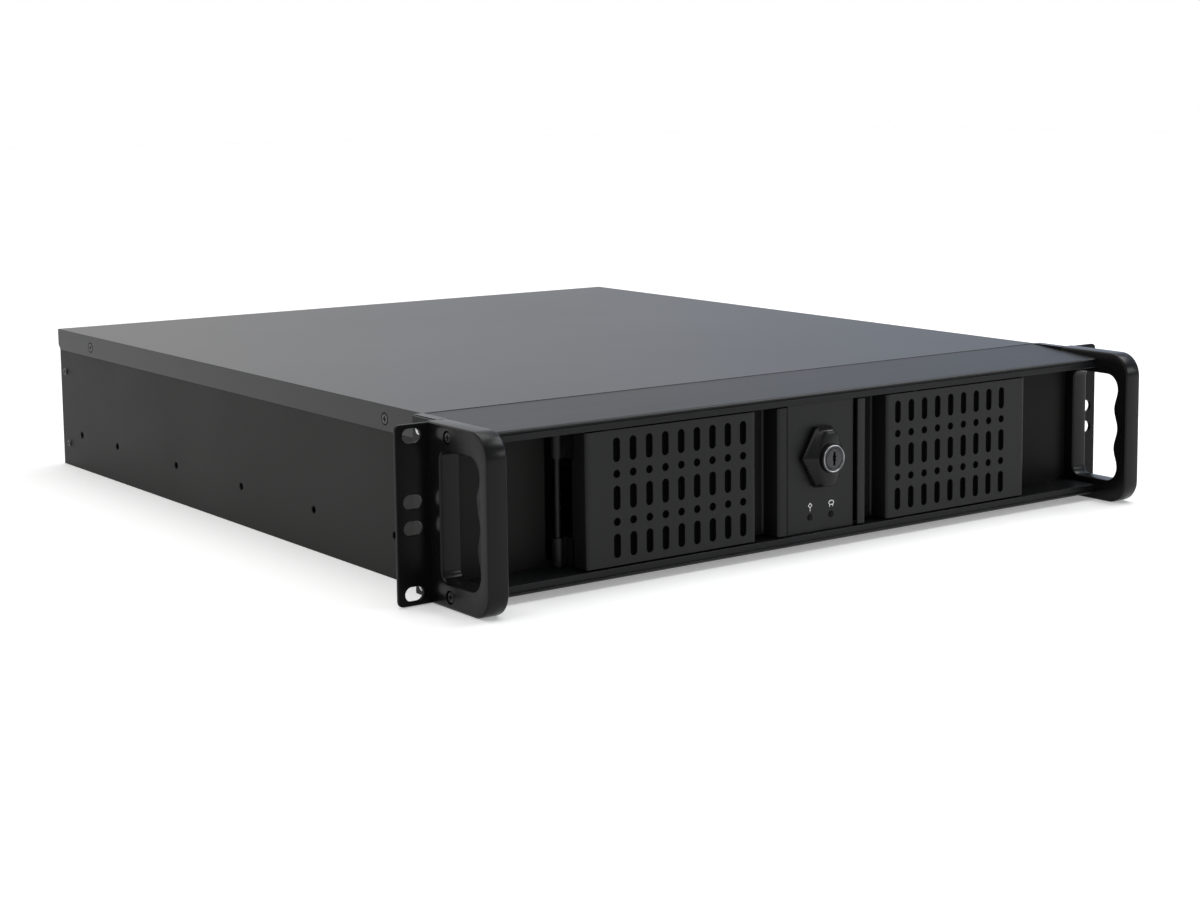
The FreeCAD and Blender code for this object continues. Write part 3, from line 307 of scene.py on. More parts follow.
def eased(node, width, segments=2, angle=25, material=None):
    """A node again, within its own box, with sharp edges eased so that they catch the light."""
    mesh = NODES[node].data.copy()
    shape = bmesh.new()
    shape.from_mesh(mesh)
    bmesh.ops.remove_doubles(shape, verts=shape.verts, dist=1e-6)
    bmesh.ops.dissolve_limit(shape, angle_limit=math.radians(0.5), verts=shape.verts,
                             edges=shape.edges)
    shape.to_mesh(mesh)
    shape.free()
    mesh.shade_smooth()
    thing = loose(node + "_shape", mesh)
    bevel = thing.modifiers.new("eased_edges", "BEVEL")
    bevel.width = width * MM
    bevel.segments = segments
    bevel.limit_method = "ANGLE"
    bevel.angle_limit = math.radians(angle)
    bevel.use_clamp_overlap = False
    even = thing.modifiers.new("flat_faces_stay_flat", "WEIGHTED_NORMAL")
    even.mode = "FACE_AREA"
    even.weight = 100
    mesh = settled(thing)
    low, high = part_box(node)
    for point in mesh.vertices:
        point.co = [min(max(point.co[i], low[i]), high[i]) for i in range(3)]
    return new_piece(node + "_eased", mesh, SLOT_OF[node], BODY_OF[node], [node], material)


for node, width in (("top_cover", 0.35), ("chassis_tray", 0.4), ("bezel_top_rail", 0.3),
                    ("bezel_bottom_rail", 0.3), ("lock_panel", 0.3), ("rear_panel", 0.25)):
    eased(node, width)
# The rack angles take the darker copy of the powder coat, whose base colour holds painted shade.
for node in ("left_rack_angle", "right_rack_angle"):
    eased(node, 0.4, material=ANGLE_COAT_PAINTED_SHADE)


# ---------------------------------------------------------------- geometry node helpers

def shape_tree(name, inputs):
    """Geometry tree with named inputs, and its two end nodes."""
    tree = bpy.data.node_groups.new(name, "GeometryNodeTree")
    tree.interface.new_socket(name="Geometry", in_out="INPUT", socket_type="NodeSocketGeometry")
    for label, kind in inputs:
        tree.interface.new_socket(name=label, in_out="INPUT", socket_type="NodeSocket" + kind)
    tree.interface.new_socket(name="Geometry", in_out="OUTPUT",
                              socket_type="NodeSocketGeometry")
    return tree, tree.nodes.new("NodeGroupInput"), tree.nodes.new("NodeGroupOutput")


def sums(tree, operation, a, b):
    """Arithmetic on two numbers, each a socket or a plain value."""
    node = tree.nodes.new("ShaderNodeMath")
    node.operation = operation
    for socket, value in zip(node.inputs, (a, b)):
        if isinstance(value, (int, float)):
            socket.default_value = value
        else:
            tree.links.new(value, socket)
    return node.outputs[0]


def run_tree(tree, name, data, values):
    """The plain mesh that a tree makes of some data with its named inputs set."""
    thing = loose(name, data)
    modifier = thing.modifiers.new(tree.name, "NODES")
    modifier.node_group = tree
    for item in tree.interface.items_tree:
        if item.in_out == "INPUT" and item.name in values:
            modifier[item.identifier] = values[item.name]
    return settled(thing)


# ---------------------------------------------------------------- cross-head screws

def screw_tree():
    """A cross-head screw on every point, facing along the point's own direction."""
    tree, given, made = shape_tree("cross_head_screws", [
        ("Head radius", "Float"), ("Head height", "Float"), ("Crown", "Float"),
        ("Shank radius", "Float"), ("Shank length", "Float"), ("Finish", "Material")])
    radius, height = given.outputs["Head radius"], given.outputs["Head height"]
    head = step(tree, "GeometryNodeMeshCone", [
        ("Radius Bottom", radius), ("Depth", height),
        ("Radius Top", sums(tree, "MULTIPLY", radius, given.outputs["Crown"]))],
        [("Vertices", 24)])
    bars = []
    for long_axis in (0, 1):
        size = step(tree, "ShaderNodeCombineXYZ", [
            (long_axis, sums(tree, "MULTIPLY", radius, 1.15)),
            (1 - long_axis, sums(tree, "MULTIPLY", radius, 0.27)),
            (2, sums(tree, "MULTIPLY", height, 1.3))])
        bars.append(step(tree, "GeometryNodeMeshCube", [("Size", size.outputs[0])]))
    recess_at = step(tree, "ShaderNodeCombineXYZ", [(2, height)])
    cut = head.outputs["Mesh"]
    for bar in bars:
        recess = step(tree, "GeometryNodeTransform", [
            ("Geometry", bar.outputs["Mesh"]), ("Translation", recess_at.outputs[0])])
        cut = step(tree, "GeometryNodeMeshBoolean", [
            ("Mesh 1", cut), ("Mesh 2", recess.outputs["Geometry"])],
            operation="DIFFERENCE", solver="EXACT").outputs["Mesh"]
    shank = step(tree, "GeometryNodeMeshCylinder", [
        ("Radius", given.outputs["Shank radius"]), ("Depth", given.outputs["Shank length"])],
        [("Vertices", 12)])
    drop = step(tree, "ShaderNodeCombineXYZ", [
        (2, sums(tree, "MULTIPLY", given.outputs["Shank length"], -0.5))])
    shank_set = step(tree, "GeometryNodeTransform", [
        ("Geometry", shank.outputs["Mesh"]), ("Translation", drop.outputs[0])])
    screw = step(tree, "GeometryNodeJoinGeometry")
    for part in (cut, shank_set.outputs["Geometry"]):
        tree.links.new(part, screw.inputs[0])
    facing = step(tree, "GeometryNodeInputNamedAttribute", values=[("Name", "facing")],
                  data_type="FLOAT_VECTOR")
    turned = step(tree, "FunctionNodeAlignRotationToVector", [
        ("Vector", facing.outputs["Attribute"])], axis="Z")
    placed = step(tree, "GeometryNodeInstanceOnPoints", [
        ("Points", given.outputs["Geometry"]), ("Instance", screw.outputs[0]),
        ("Rotation", turned.outputs["Rotation"])])
    solid = step(tree, "GeometryNodeRealizeInstances", [("Geometry", placed.outputs[0])])
    coated = step(tree, "GeometryNodeSetMaterial", [
        ("Geometry", solid.outputs[0]), ("Material", given.outputs["Finish"])])
    tree.links.new(coated.outputs[0], made.inputs[0])
    return tree


def separate_boxes(node):
    """Lowest and highest corners of each separate solid in a CAD node."""
    shape = bmesh.new()
    shape.from_mesh(NODES[node].data)
    bmesh.ops.remove_doubles(shape, verts=shape.verts, dist=1e-6)
    left, boxes = set(shape.verts), []
    while left:
        reached = {left.pop()}
        edge_of_search = set(reached)
        while edge_of_search:
            edge_of_search = {e.other_vert(v) for v in edge_of_search
                              for e in v.link_edges} - reached
            reached |= edge_of_search
        left -= reached
        boxes.append((Vector([min(v.co[i] for v in reached) for i in range(3)]),
                      Vector([max(v.co[i] for v in reached) for i in range(3)])))
    shape.free()
    return sorted(boxes, key=lambda box: tuple(box[0]))


SCREWS = screw_tree()


def dress_screws(node, axis, head_radius, head_height, shank_radius, crown=0.8):
    """Cross-head screws in place of a node's plain ones, with heads to each side on axis 0."""
    places, facings = [], []
    for low, high in separate_boxes(node):
        middle = (low + high) / 2
        way = Vector((0, 0, 0))
        way[axis] = math.copysign(1, middle.x) if axis == 0 else 1
        tip = high[axis] if way[axis] > 0 else low[axis]
        middle[axis] = tip - way[axis] * head_height * MM
        places.append(middle)
        facings.append(way)
        length = (high - low)[axis] - head_height * MM
    points = bpy.data.meshes.new(node + "_points")
    points.from_pydata(places, [], [])
    facing = points.attributes.new("facing", "FLOAT_VECTOR", "POINT")
    facing.data.foreach_set("vector", [c for way in facings for c in way])
    mesh = run_tree(SCREWS, node + "_points", points, {
        "Head radius": head_radius * MM, "Head height": head_height * MM, "Crown": crown,
        "Shank radius": shank_radius * MM, "Shank length": length,
        "Finish": FINISHES[SLOT_OF[node]]})
    new_piece("cross_head_" + node, smooth_by_angle(mesh), SLOT_OF[node], BODY_OF[node], [node])


# each row: the shank's axis, then head radius, head height, shank radius and any own crown
for node, sizes in (("handle_screws", (0, 2.95, 1.8, 1.35)),
                    ("rack_angle_screws", (0, 2.95, 2.0, 1.35)),
                    ("cover_screws", (0, 2.9, 1.0, 1.4, 0.9)),
                    ("rear_panel_screws", (0, 2.5, 0.9, 1.35)),
                    ("fan_bolts", (1, 2.7, 2.0, 1.3)),
                    ("cage_screws", (2, 2.7, 1.8, 1.4)),
                    ("bracket_screws", (2, 2.7, 1.8, 1.4)),
                    ("slot_screws", (2, 2.9, 1.6, 1.35))):
    dress_screws(node, *sizes)


# ---------------------------------------------------------------- grille doors

def grille_tree():
    """Flat sheet with rows of upright slots and rows of round holes between them."""
    tree, given, made = shape_tree("grille_sheet", [
        ("Width", "Float"), ("Height", "Float"), ("Gauge", "Float"), ("First column", "Float"),
        ("Column pitch", "Float"), ("Columns", "Int"), ("Row pitch", "Float"),
        ("Slot length", "Float"), ("Slot width", "Float"), ("Finish", "Material")])
    width, pitch = given.outputs["Width"], given.outputs["Column pitch"]
    slot_width = given.outputs["Slot width"]
    outline = step(tree, "GeometryNodeCurvePrimitiveQuadrilateral", [
        ("Width", width), ("Height", given.outputs["Height"])])
    bar = step(tree, "GeometryNodeCurvePrimitiveQuadrilateral", [
        ("Width", slot_width), ("Height", given.outputs["Slot length"])])
    slot = step(tree, "GeometryNodeFilletCurve", [
        ("Curve", bar.outputs["Curve"]), ("Radius", sums(tree, "MULTIPLY", slot_width, 0.499))],
        [("Count", 5)], mode="POLY")
    hole = step(tree, "GeometryNodeCurvePrimitiveCircle", [
        ("Radius", sums(tree, "MULTIPLY", slot_width, 0.5))], [("Resolution", 18)])
    columns = given.outputs["Columns"]
    span = sums(tree, "MULTIPLY", pitch, sums(tree, "SUBTRACT", columns, 1))
    start = sums(tree, "SUBTRACT", sums(tree, "ADD", given.outputs["First column"],
                                        sums(tree, "MULTIPLY", span, 0.5)),
                 sums(tree, "MULTIPLY", width, 0.5))
    cuts = step(tree, "GeometryNodeJoinGeometry")
    for shape, rows in ((slot.outputs["Curve"], 3), (hole.outputs["Curve"], 2)):
        grid = step(tree, "GeometryNodeMeshGrid", [
            ("Size X", span), ("Vertices X", columns),
            ("Size Y", sums(tree, "MULTIPLY", given.outputs["Row pitch"], 2 * (rows - 1)))],
            [("Vertices Y", rows)])
        shift = step(tree, "ShaderNodeCombineXYZ", [(0, start)])
        grid_set = step(tree, "GeometryNodeTransform", [
            ("Geometry", grid.outputs["Mesh"]), ("Translation", shift.outputs[0])])
        copies = step(tree, "GeometryNodeInstanceOnPoints", [
            ("Points", grid_set.outputs["Geometry"]), ("Instance", shape)])
        flat = step(tree, "GeometryNodeRealizeInstances", [("Geometry", copies.outputs[0])])
        tree.links.new(flat.outputs[0], cuts.inputs[0])
    tree.links.new(outline.outputs["Curve"], cuts.inputs[0])
    sheet = step(tree, "GeometryNodeFillCurve", [("Curve", cuts.outputs[0])], mode="TRIANGLES")
    raised = step(tree, "GeometryNodeExtrudeMesh", [
        ("Mesh", sheet.outputs["Mesh"]), ("Offset Scale", given.outputs["Gauge"])],
        [("Individual", False)], mode="FACES")
    back = step(tree, "GeometryNodeFlipFaces", [("Mesh", sheet.outputs["Mesh"])])
    both = step(tree, "GeometryNodeJoinGeometry")
    for part in (raised.outputs["Mesh"], back.outputs["Mesh"]):
        tree.links.new(part, both.inputs[0])
    welded = step(tree, "GeometryNodeMergeByDistance", [("Geometry", both.outputs[0])],
                  [("Distance", 1e-6)])
    solid = step(tree, "GeometryNodeRealizeInstances", [("Geometry", welded.outputs[0])])
    coated = step(tree, "GeometryNodeSetMaterial", [
        ("Geometry", solid.outputs[0]), ("Material", given.outputs["Finish"])])
    tree.links.new(coated.outputs[0], made.inputs[0])
    return tree


def rounded(points, radius, steps=4):
    """A path with its inner corners turned into arcs."""
    path = [Vector(points[0])]
    for before, corner, after in zip(points, points[1:], points[2:]):
        corner = Vector(corner)
        a, b = (Vector(before) - corner).normalized(), (Vector(after) - corner).normalized()
        half = a.angle(b) / 2
        reach = min(radius / math.tan(half), (Vector(before) - corner).length * 0.49,
                    (Vector(after) - corner).length * 0.49)
        centre = corner + (a + b).normalized() * (reach / math.cos(half))
        start, end = corner + a * reach, corner + b * reach
        bend = (start - centre).length
        for i in range(steps + 1):
            path.append(centre + (start - centre).slerp(end - centre, i / steps) * bend)
    path.append(Vector(points[-1]))
    return path


def folded_sheet(name, points, low, high, gauge, radius):
    """Upright sheet folded along a path of (x, y) points in millimetres, with round bends."""
    path = rounded([Vector(p) for p in points], radius)
    mesh = bpy.data.meshes.new(name)
    count = len(path)
    corners = [(p.x * MM, behind(p.y), z) for z in (low, high) for p in path]
    mesh.from_pydata(corners, [], [(i, i + 1, count + i + 1, count + i)
                                   for i in range(count - 1)])
    thing = loose(name, mesh)
    wall = thing.modifiers.new("gauge", "SOLIDIFY")
    wall.thickness = gauge * MM
    wall.offset = 1
    wall.use_even_offset = True
    return settled(thing)


def tube(name, x, y, low, high, outer, inner, sides=24):
    """Upright round tube in millimetres across and metres high."""
    shape = bmesh.new()
    rings = []
    for radius, z in ((outer, low), (outer, high), (inner, high), (inner, low)):
        rings.append([shape.verts.new((
            (x + radius * math.cos(2 * math.pi * i / sides)) * MM,
            behind(y + radius * math.sin(2 * math.pi * i / sides)), z)) for i in range(sides)])
    for a, b in zip(rings, rings[1:] + rings[:1]):
        for i in range(sides):
            j = (i + 1) % sides
            shape.faces.new((a[i], a[j], b[j], b[i]))
    mesh = bpy.data.meshes.new(name)
    shape.to_mesh(mesh)
    shape.free()
    return mesh


def plate(name, low, high):
    """Plain block between two corners given in metres."""
    mesh = bpy.data.meshes.new(name)
    shape = bmesh.new()
    bmesh.ops.create_cube(shape, size=1.0)
    for vert in shape.verts:
        vert.co = Vector([low[i] + (vert.co[i] + 0.5) * (high[i] - low[i]) for i in range(3)])
    shape.to_mesh(mesh)
    shape.free()
    return mesh


def mirror_x(mesh):
    """The mesh on the other side of the case, with its faces turned to point outwards."""
    mesh.transform(Matrix.Diagonal((-1, 1, 1, 1)))
    mesh.flip_normals()
    return mesh


GRILLE = grille_tree()
DOOR_GAUGE, DOOR_BEND, DOOR_DEPTH = 1.2, 1.6, 12.0
CHANNEL_INNER, CHANNEL_OUTER, DOOR_OUTER = 30.75, 45.6, 152.0
FIRST_COLUMN, COLUMNS = 54.0, 9
GRILLE_SIZES = {"Column pitch": 9.94, "Row pitch": 12.0, "Slot length": 12.3,
                "Slot width": 4.2}


def door_folds(low, high):
    """Finger channel, hinge fold and catch of the right door."""
    face, catch_tip = set_back(DOOR[0].y), DOOR[0].x / MM
    rear, lip, catch_back, overlap = face + DOOR_DEPTH, 0.6, -17.4, 0.15
    join_in, join_out = CHANNEL_OUTER + 3.0, DOOR_OUTER - 3.0
    channel = folded_sheet("channel", [
        (join_in, face), (CHANNEL_OUTER, face), (CHANNEL_OUTER, rear), (CHANNEL_INNER, rear),
        (CHANNEL_INNER, face), (catch_tip + lip, face)], low, high, DOOR_GAUGE, DOOR_BEND)
    hinge_fold = folded_sheet("hinge_fold", [
        (DOOR_OUTER, rear), (DOOR_OUTER, face), (join_out, face)], low, high, DOOR_GAUGE,
        DOOR_BEND)
    catch = plate("catch", (catch_tip * MM, behind(catch_back - DOOR_GAUGE), low),
                  ((CHANNEL_INNER - DOOR_GAUGE + overlap) * MM, behind(catch_back), high))
    return [channel, hinge_fold, catch], face, join_in, join_out


def hinge_leaves(face, low, high):
    """Two barrels about the hinge pin, each on a leaf from the outer fold."""
    pin_x, pin_y = HINGE[0] / MM, set_back(HINGE[1])
    tall, radius, bore, reach = 14.0 * MM, 3.0, 1.55, 1.4
    inside, bend = (DOOR_OUTER - DOOR_GAUGE) * MM, behind(pin_y - DOOR_GAUGE)
    parts = []
    for start in (low, high - tall):
        parts.append(tube("barrel", pin_x, pin_y, start, start + tall, radius, bore))
        parts.append(plate("leaf", (inside, behind(face + DOOR_DEPTH - 1), start),
                           (DOOR_OUTER * MM, bend, start + tall)))
        parts.append(plate("leaf_end", (inside, bend, start),
                           ((pin_x - reach) * MM, behind(pin_y), start + tall)))
    return parts


def grille_door(side, name):
    """Folded door leaf: catch, finger channel, perforated face, hinge fold and barrels."""
    node = name + "_door"
    low, high = DOOR[0].z, DOOR[1].z
    parts, face, join_in, join_out = door_folds(low, high)
    grille = {label: size * MM for label, size in GRILLE_SIZES.items()}
    sheet = run_tree(GRILLE, "sheet", bpy.data.meshes.new("sheet"), {
        "Width": (join_out - join_in) * MM, "Height": high - low, "Gauge": DOOR_GAUGE * MM,
        "First column": (FIRST_COLUMN - join_in) * MM, "Columns": COLUMNS,
        "Finish": FINISHES["door_coat"], **grille})
    centre = Vector(((join_in + join_out) / 2 * MM, behind(face + DOOR_GAUGE),
                     (low + high) / 2))
    sheet.transform(Matrix.Translation(centre) @ Matrix.Rotation(math.pi / 2, 4, "X"))
    mesh = joined(node, parts + [sheet] + hinge_leaves(face, low, high))
    if side < 0:
        mirror_x(mesh)
    new_piece(name + "_grille_door", smooth_by_angle(mesh), "door_coat",
              name + "_door_leaf", [node])


grille_door(-1, "left")
grille_door(1, "right")


# ---------------------------------------------------------------- cast handles

def handle_outlines():
    """Outer and inner outlines of the handle as (y, z) in millimetres."""
    tall, reach, rear, corner = HANDLE[1].z / MM, set_back(HANDLE[0].y), 1.9, 13.0
    outer = rounded([Vector(p) for p in (
        (rear, 0), (reach, 0), (reach, tall), (rear, tall))], corner, 10)
    bar, heel, shoulder, heel_round = 12.5, -9.5, -35.0, 5.0
    low, high = bar, tall - bar
    inner = rounded([Vector(p) for p in (
        (shoulder, high), (heel, high), (heel, low), (shoulder, low))], heel_round, 6)
    turn, turn_steps = 8.5, 8
    grip, wave, wave_pitch, wave_steps = -42.25, 1.25, 23.0, 46
    for i in range(1, turn_steps + 1):
        angle = math.pi / 2 * i / turn_steps
        inner.append(Vector((shoulder - turn * math.sin(angle),
                             low + turn - turn * math.cos(angle))))
    for i in range(1, wave_steps + 1):
        z = low + turn + i * (high - low - 2 * turn) / wave_steps
        phase = (z - tall / 2) * 2 * math.pi / wave_pitch
        inner.append(Vector((grip - wave * math.cos(phase), z)))
    for i in range(1, turn_steps):
        angle = math.pi / 2 * i / turn_steps
        inner.append(Vector((shoulder - turn * math.cos(angle),
                             high - turn + turn * math.sin(angle))))
    return outer, inner


def inset_ring(outline, inset):
    """The closed outline moved into its material, which lies on its left, by a distance."""
    moved = []
    for before, point, after in zip(outline[-1:] + outline[:-1], outline,
                                    outline[1:] + outline[:1]):
        a, b = (point - before).normalized(), (after - point).normalized()
        left_a, left_b = Vector((-a.y, a.x)), Vector((-b.y, b.x))
        moved.append(point + (left_a + left_b) * (inset / (1 + left_a.dot(left_b))))
    return moved


def winding(outline):
    """Positive where the outline runs anticlockwise."""
    return sum(p.cross(q) for p, q in zip(outline, outline[1:] + outline[:1]))


def rounded_plate(name, outlines, thick, rounding, steps=4):
    """Plate with round edges from an outer outline and openings, about its middle plane."""
    shape = bmesh.new()
    turns = [math.pi / 2 * i / steps for i in range(steps + 1)]
    sections = [(rounding * (1 - math.sin(a)), -thick / 2 + rounding * (1 - math.cos(a)))
                for a in turns]
    sections += [(rounding * (1 - math.cos(a)), thick / 2 - rounding * (1 - math.sin(a)))
                 for a in turns]
    ends = {0: [], len(sections) - 1: []}
    for number, outline in enumerate(outlines):
        if (winding(outline) > 0) == (number > 0):
            outline = outline[::-1]
        rings = [[shape.verts.new((p.x * MM, p.y * MM, w * MM))
                  for p in inset_ring(outline, inset)] for inset, w in sections]
        for a, b in zip(rings, rings[1:]):
            for i in range(len(outline)):
                j = (i + 1) % len(outline)
                shape.faces.new((a[i], a[j], b[j], b[i]))
        for end, edges in ends.items():
            ring = rings[end]
            edges += [shape.edges.get((ring[i - 1], ring[i])) for i in range(len(ring))]
    for edges in ends.values():
        bmesh.ops.triangle_fill(shape, edges=edges, use_beauty=True)
    bmesh.ops.recalc_face_normals(shape, faces=shape.faces)
    mesh = bpy.data.meshes.new(name)
    shape.to_mesh(mesh)
    shape.free()
    return mesh


def cast_handle(side, name):
    """Cast handle: loop with a waved grip, screw sinks in its outer face, and its end plate."""
    node = name + "_handle"
    outside, edge_round, plate_thick = HANDLE[1].x, 1.1, 5.3
    sink_radius, sink_length = 3.4 * MM, 4.4 * MM
    loop = rounded_plate("loop", handle_outlines(), (outside - CASE_HALF) / MM, edge_round)
    loop.transform(Matrix(((0, 0, 1, (CASE_HALF + outside) / 2), (1, 0, 0, FLANGE_FRONT),
                           (0, 1, 0, 0), (0, 0, 0, 1))))
    thing = loose(node, loop)
    cutters = []
    for place in HANDLE_SCREWS:
        drill = bmesh.new()
        bmesh.ops.create_cone(drill, cap_ends=True, segments=24, radius1=sink_radius,
                              radius2=sink_radius, depth=sink_length)
        hole = bpy.data.meshes.new("sink")
        drill.to_mesh(hole)
        drill.free()
        hole.transform(Matrix.Translation((outside, place.y, place.z))
                       @ Matrix.Rotation(math.pi / 2, 4, "Y"))
        cutters.append(loose("sink", hole))
        cut = thing.modifiers.new("sink", "BOOLEAN")
        cut.operation = "DIFFERENCE"
        cut.solver = "EXACT"
        cut.object = cutters[-1]
    shaped = settled(thing)
    for cutter in cutters:
        bpy.data.objects.remove(cutter)
    back = plate("end_plate", (CASE_HALF, behind(1.0), 0.0),
                 (CASE_HALF + plate_thick * MM, HANDLE[1].y, CASE_TOP))
    mesh = joined(node, [shaped, back])
    if side < 0:
        mirror_x(mesh)
    new_piece(name + "_cast_handle", smooth_by_angle(mesh), "casting_coat", "case", [node])


HANDLE_SCREWS = [(low + high) / 2 for low, high in separate_boxes("handle_screws")
                 if low.x > 0]
cast_handle(-1, "left")
cast_handle(1, "right")


# ---------------------------------------------------------------- lock knob, ring and marks

def lozenge(half, tall, end, corner, steps=5):
    """Long six-sided outline with round corners, as (x, z) in millimetres."""
    points = [(half, 0), (end, tall), (-end, tall), (-half, 0), (-end, -tall), (end, -tall)]
    closed = [Vector(p) for p in points[-1:] + points + points[:1]]
    return rounded(closed, corner, steps)[1:-1]


def skinned(name, rings):
    """Closed skin over rings of equal count, with both ends filled."""
    shape = bmesh.new()
    loops = [[shape.verts.new(p) for p in ring] for ring in rings]
    count = len(loops[0])
    for a, b in zip(loops, loops[1:]):
        for i in range(count):
            j = (i + 1) % count
            shape.faces.new((a[i], a[j], b[j], b[i]))
    shape.faces.new(loops[0][::-1])
    shape.faces.new(loops[-1])
    bmesh.ops.recalc_face_normals(shape, faces=shape.faces)
    mesh = bpy.data.meshes.new(name)
    shape.to_mesh(mesh)
    shape.free()
    return mesh


def turned_ring(name, profile, sides=48):
    """Ring turned about the lock's axis from a closed profile of (radius, y) in millimetres."""
    shape = bmesh.new()
    rings = [[shape.verts.new((radius * MM * math.cos(2 * math.pi * i / sides), behind(y),
                               LOCK_HEIGHT + radius * MM * math.sin(2 * math.pi * i / sides)))
              for i in range(sides)] for radius, y in profile]
    for a, b in zip(rings, rings[1:] + rings[:1]):
        for i in range(sides):
            j = (i + 1) % sides
            shape.faces.new((a[i], a[j], b[j], b[i]))
    bmesh.ops.recalc_face_normals(shape, faces=shape.faces)
    mesh = bpy.data.meshes.new(name)
    shape.to_mesh(mesh)
    shape.free()
    return mesh


def knob():
    """Wing knob: a broad foot, a waist that narrows forwards, and the lock's barrel."""
    seat, front = set_back(PANEL_FRONT), set_back(KNOB[0].y)
    # half width, half height, half end and corner radius, at a height above the panel
    sections = ((15.0, 16.3, 5.5, 2.4, 0.0), (15.0, 16.3, 5.5, 2.4, 2.2),
                (14.9, 16.2, 5.4, 2.6, 2.7), (14.4, 15.9, 5.2, 2.8, 3.4),
                (13.3, 15.6, 5.0, 3.0, 4.2), (11.9, 15.4, 4.8, 3.2, 5.2),
                (10.5, 15.2, 4.6, 3.4, 6.2), (9.5, 14.9, 4.3, 3.6, 7.2),
                (8.9, 14.4, 4.0, 3.6, 7.8), (8.1, 13.6, 3.5, 3.4, 8.2))
    rings = [[(p.x * MM, behind(seat - rise), LOCK_HEIGHT + p.y * MM)
              for p in lozenge(*outline)] for *outline, rise in sections]
    wing = skinned("wing", rings)
    outer, ring_seat, bore, root = 7.9, 7.4, 6.36, seat - 1.6
    seat_floor = front + 2.1
    barrel = turned_ring("barrel", [
        (bore, root), (outer, root), (outer, front + 0.6), (outer - 0.15, front + 0.2),
        (ring_seat + 0.05, front), (ring_seat, front), (ring_seat, seat_floor),
        (bore, seat_floor)])
    shaft_radius, screw_bore = 5.0, 1.5
    start, end = seat - 0.1, set_back(KNOB[1].y) - 0.1
    shaft = turned_ring("shaft", [(screw_bore, start), (shaft_radius, start),
                                  (shaft_radius, end), (screw_bore, end)])
    mesh = joined("knob", [wing, barrel, shaft])
    new_piece("wing_knob", smooth_by_angle(mesh), "black_plastic", "lock", ["lock_knob"])


def bright_ring():
    """Ring round the key's face, with a rounded front edge."""
    front, back = set_back(RING[0].y), set_back(RING[1].y)
    inner, outer = 6.4, 7.38
    mesh = turned_ring("ring", [(inner, back), (outer, back), (outer, front + 0.4),
                                (7.2, front + 0.1), (6.9, front), (6.6, front + 0.1),
                                (inner, front + 0.4)])
    new_piece("bright_ring", smooth_by_angle(mesh), "chrome_ring", "lock", ["lock_ring"])


def key_face():
    """Key barrel: a grooved face with a zigzag keyway, in front of its plain shank."""
    front, back, radius = set_back(KEY[0].y), set_back(KEY[1].y), KEY[1].x / MM
    face_radius, groove, thick, ease = 5.3, 5.5, 1.4, 0.15
    tail_start, tail, hollow = -27.6, 1.6, 0.4
    keyway = [Vector(p) for p in ((-0.5, 3.6), (0.9, 3.6), (0.9, 1.6), (1.5, 0.9), (0.7, 0.1),
                                  (1.4, -0.8), (0.7, -1.6), (0.7, -3.6), (-0.6, -3.6),
                                  (-0.6, -1.2), (-1.3, -0.3), (-0.6, 0.5), (-1.2, 1.4),
                                  (-0.5, 2.1))]
    face = rounded_plate("face", [oval(0, 0, face_radius, face_radius, 40), keyway], thick,
                         0.18, 2)
    face.transform(Matrix(((1, 0, 0, 0), (0, 0, -1, behind(front + thick / 2)),
                           (0, 1, 0, LOCK_HEIGHT), (0, 0, 0, 1))))
    rim = turned_ring("rim", [(groove, front + thick), (groove, front + ease),
                              (groove + ease, front), (radius - ease, front),
                              (radius, front + ease), (radius, front + thick)])
    shank = turned_ring("shank", [(hollow, front + thick), (radius, front + thick),
                                  (radius, tail_start), (tail, tail_start), (tail, back),
                                  (hollow, back)], 32)
    mesh = joined("key_face", [face, rim, shank])
    new_piece("key_face", smooth_by_angle(mesh), "lock_face", "key_barrel", ["key_cylinder"])


def mark(name, side, outlines):
    """White printed mark over one lamp, from outlines in millimetres about that lamp."""
    mesh = rounded_plate(name, outlines, 0.12, 0.02)
    mesh.transform(Matrix(((1, 0, 0, side * LAMP.x), (0, 0, 1, PANEL_FRONT - 0.04 * MM),
                           (0, 1, 0, LAMP.z), (0, 0, 0, 1))))
    mesh.flip_normals()
    new_piece(name, mesh, "lamp_lens", "case", material=MARK_INK)


def oval(x, z, across, tall, sides=24):
    """Outline of an ellipse, or with four sides a diamond."""
    return [Vector((x + across * math.cos(2 * math.pi * i / sides),
                    z + tall * math.sin(2 * math.pi * i / sides))) for i in range(sides)]


def block(x0, z0, x1, z1):
    """Outline of a rectangle between two corners."""
    return [Vector(p) for p in ((x0, z0), (x1, z0), (x1, z1), (x0, z1))]


LAMP = sum(separate_boxes("indicator_lamps")[-1], Vector()) / 2
knob()
bright_ring()
key_face()
mark("power_mark_ring", -1, [oval(0, 6.4, 1.5, 1.6, 4), oval(0, 6.4, 0.9, 0.95, 4)])
mark("power_mark_stem", -1, [block(-0.2, 3.4, 0.2, 5.0)])
mark("disk_mark_ring", 1, [oval(0, 6.3, 1.95, 1.4), oval(0, 6.3, 1.45, 0.9)])
mark("disk_mark_left_foot", 1, [block(-1.4, 4.1, -0.9, 5.2)])
mark("disk_mark_right_foot", 1, [block(0.9, 4.1, 1.4, 5.2)])


# ---------------------------------------------------------------- studio

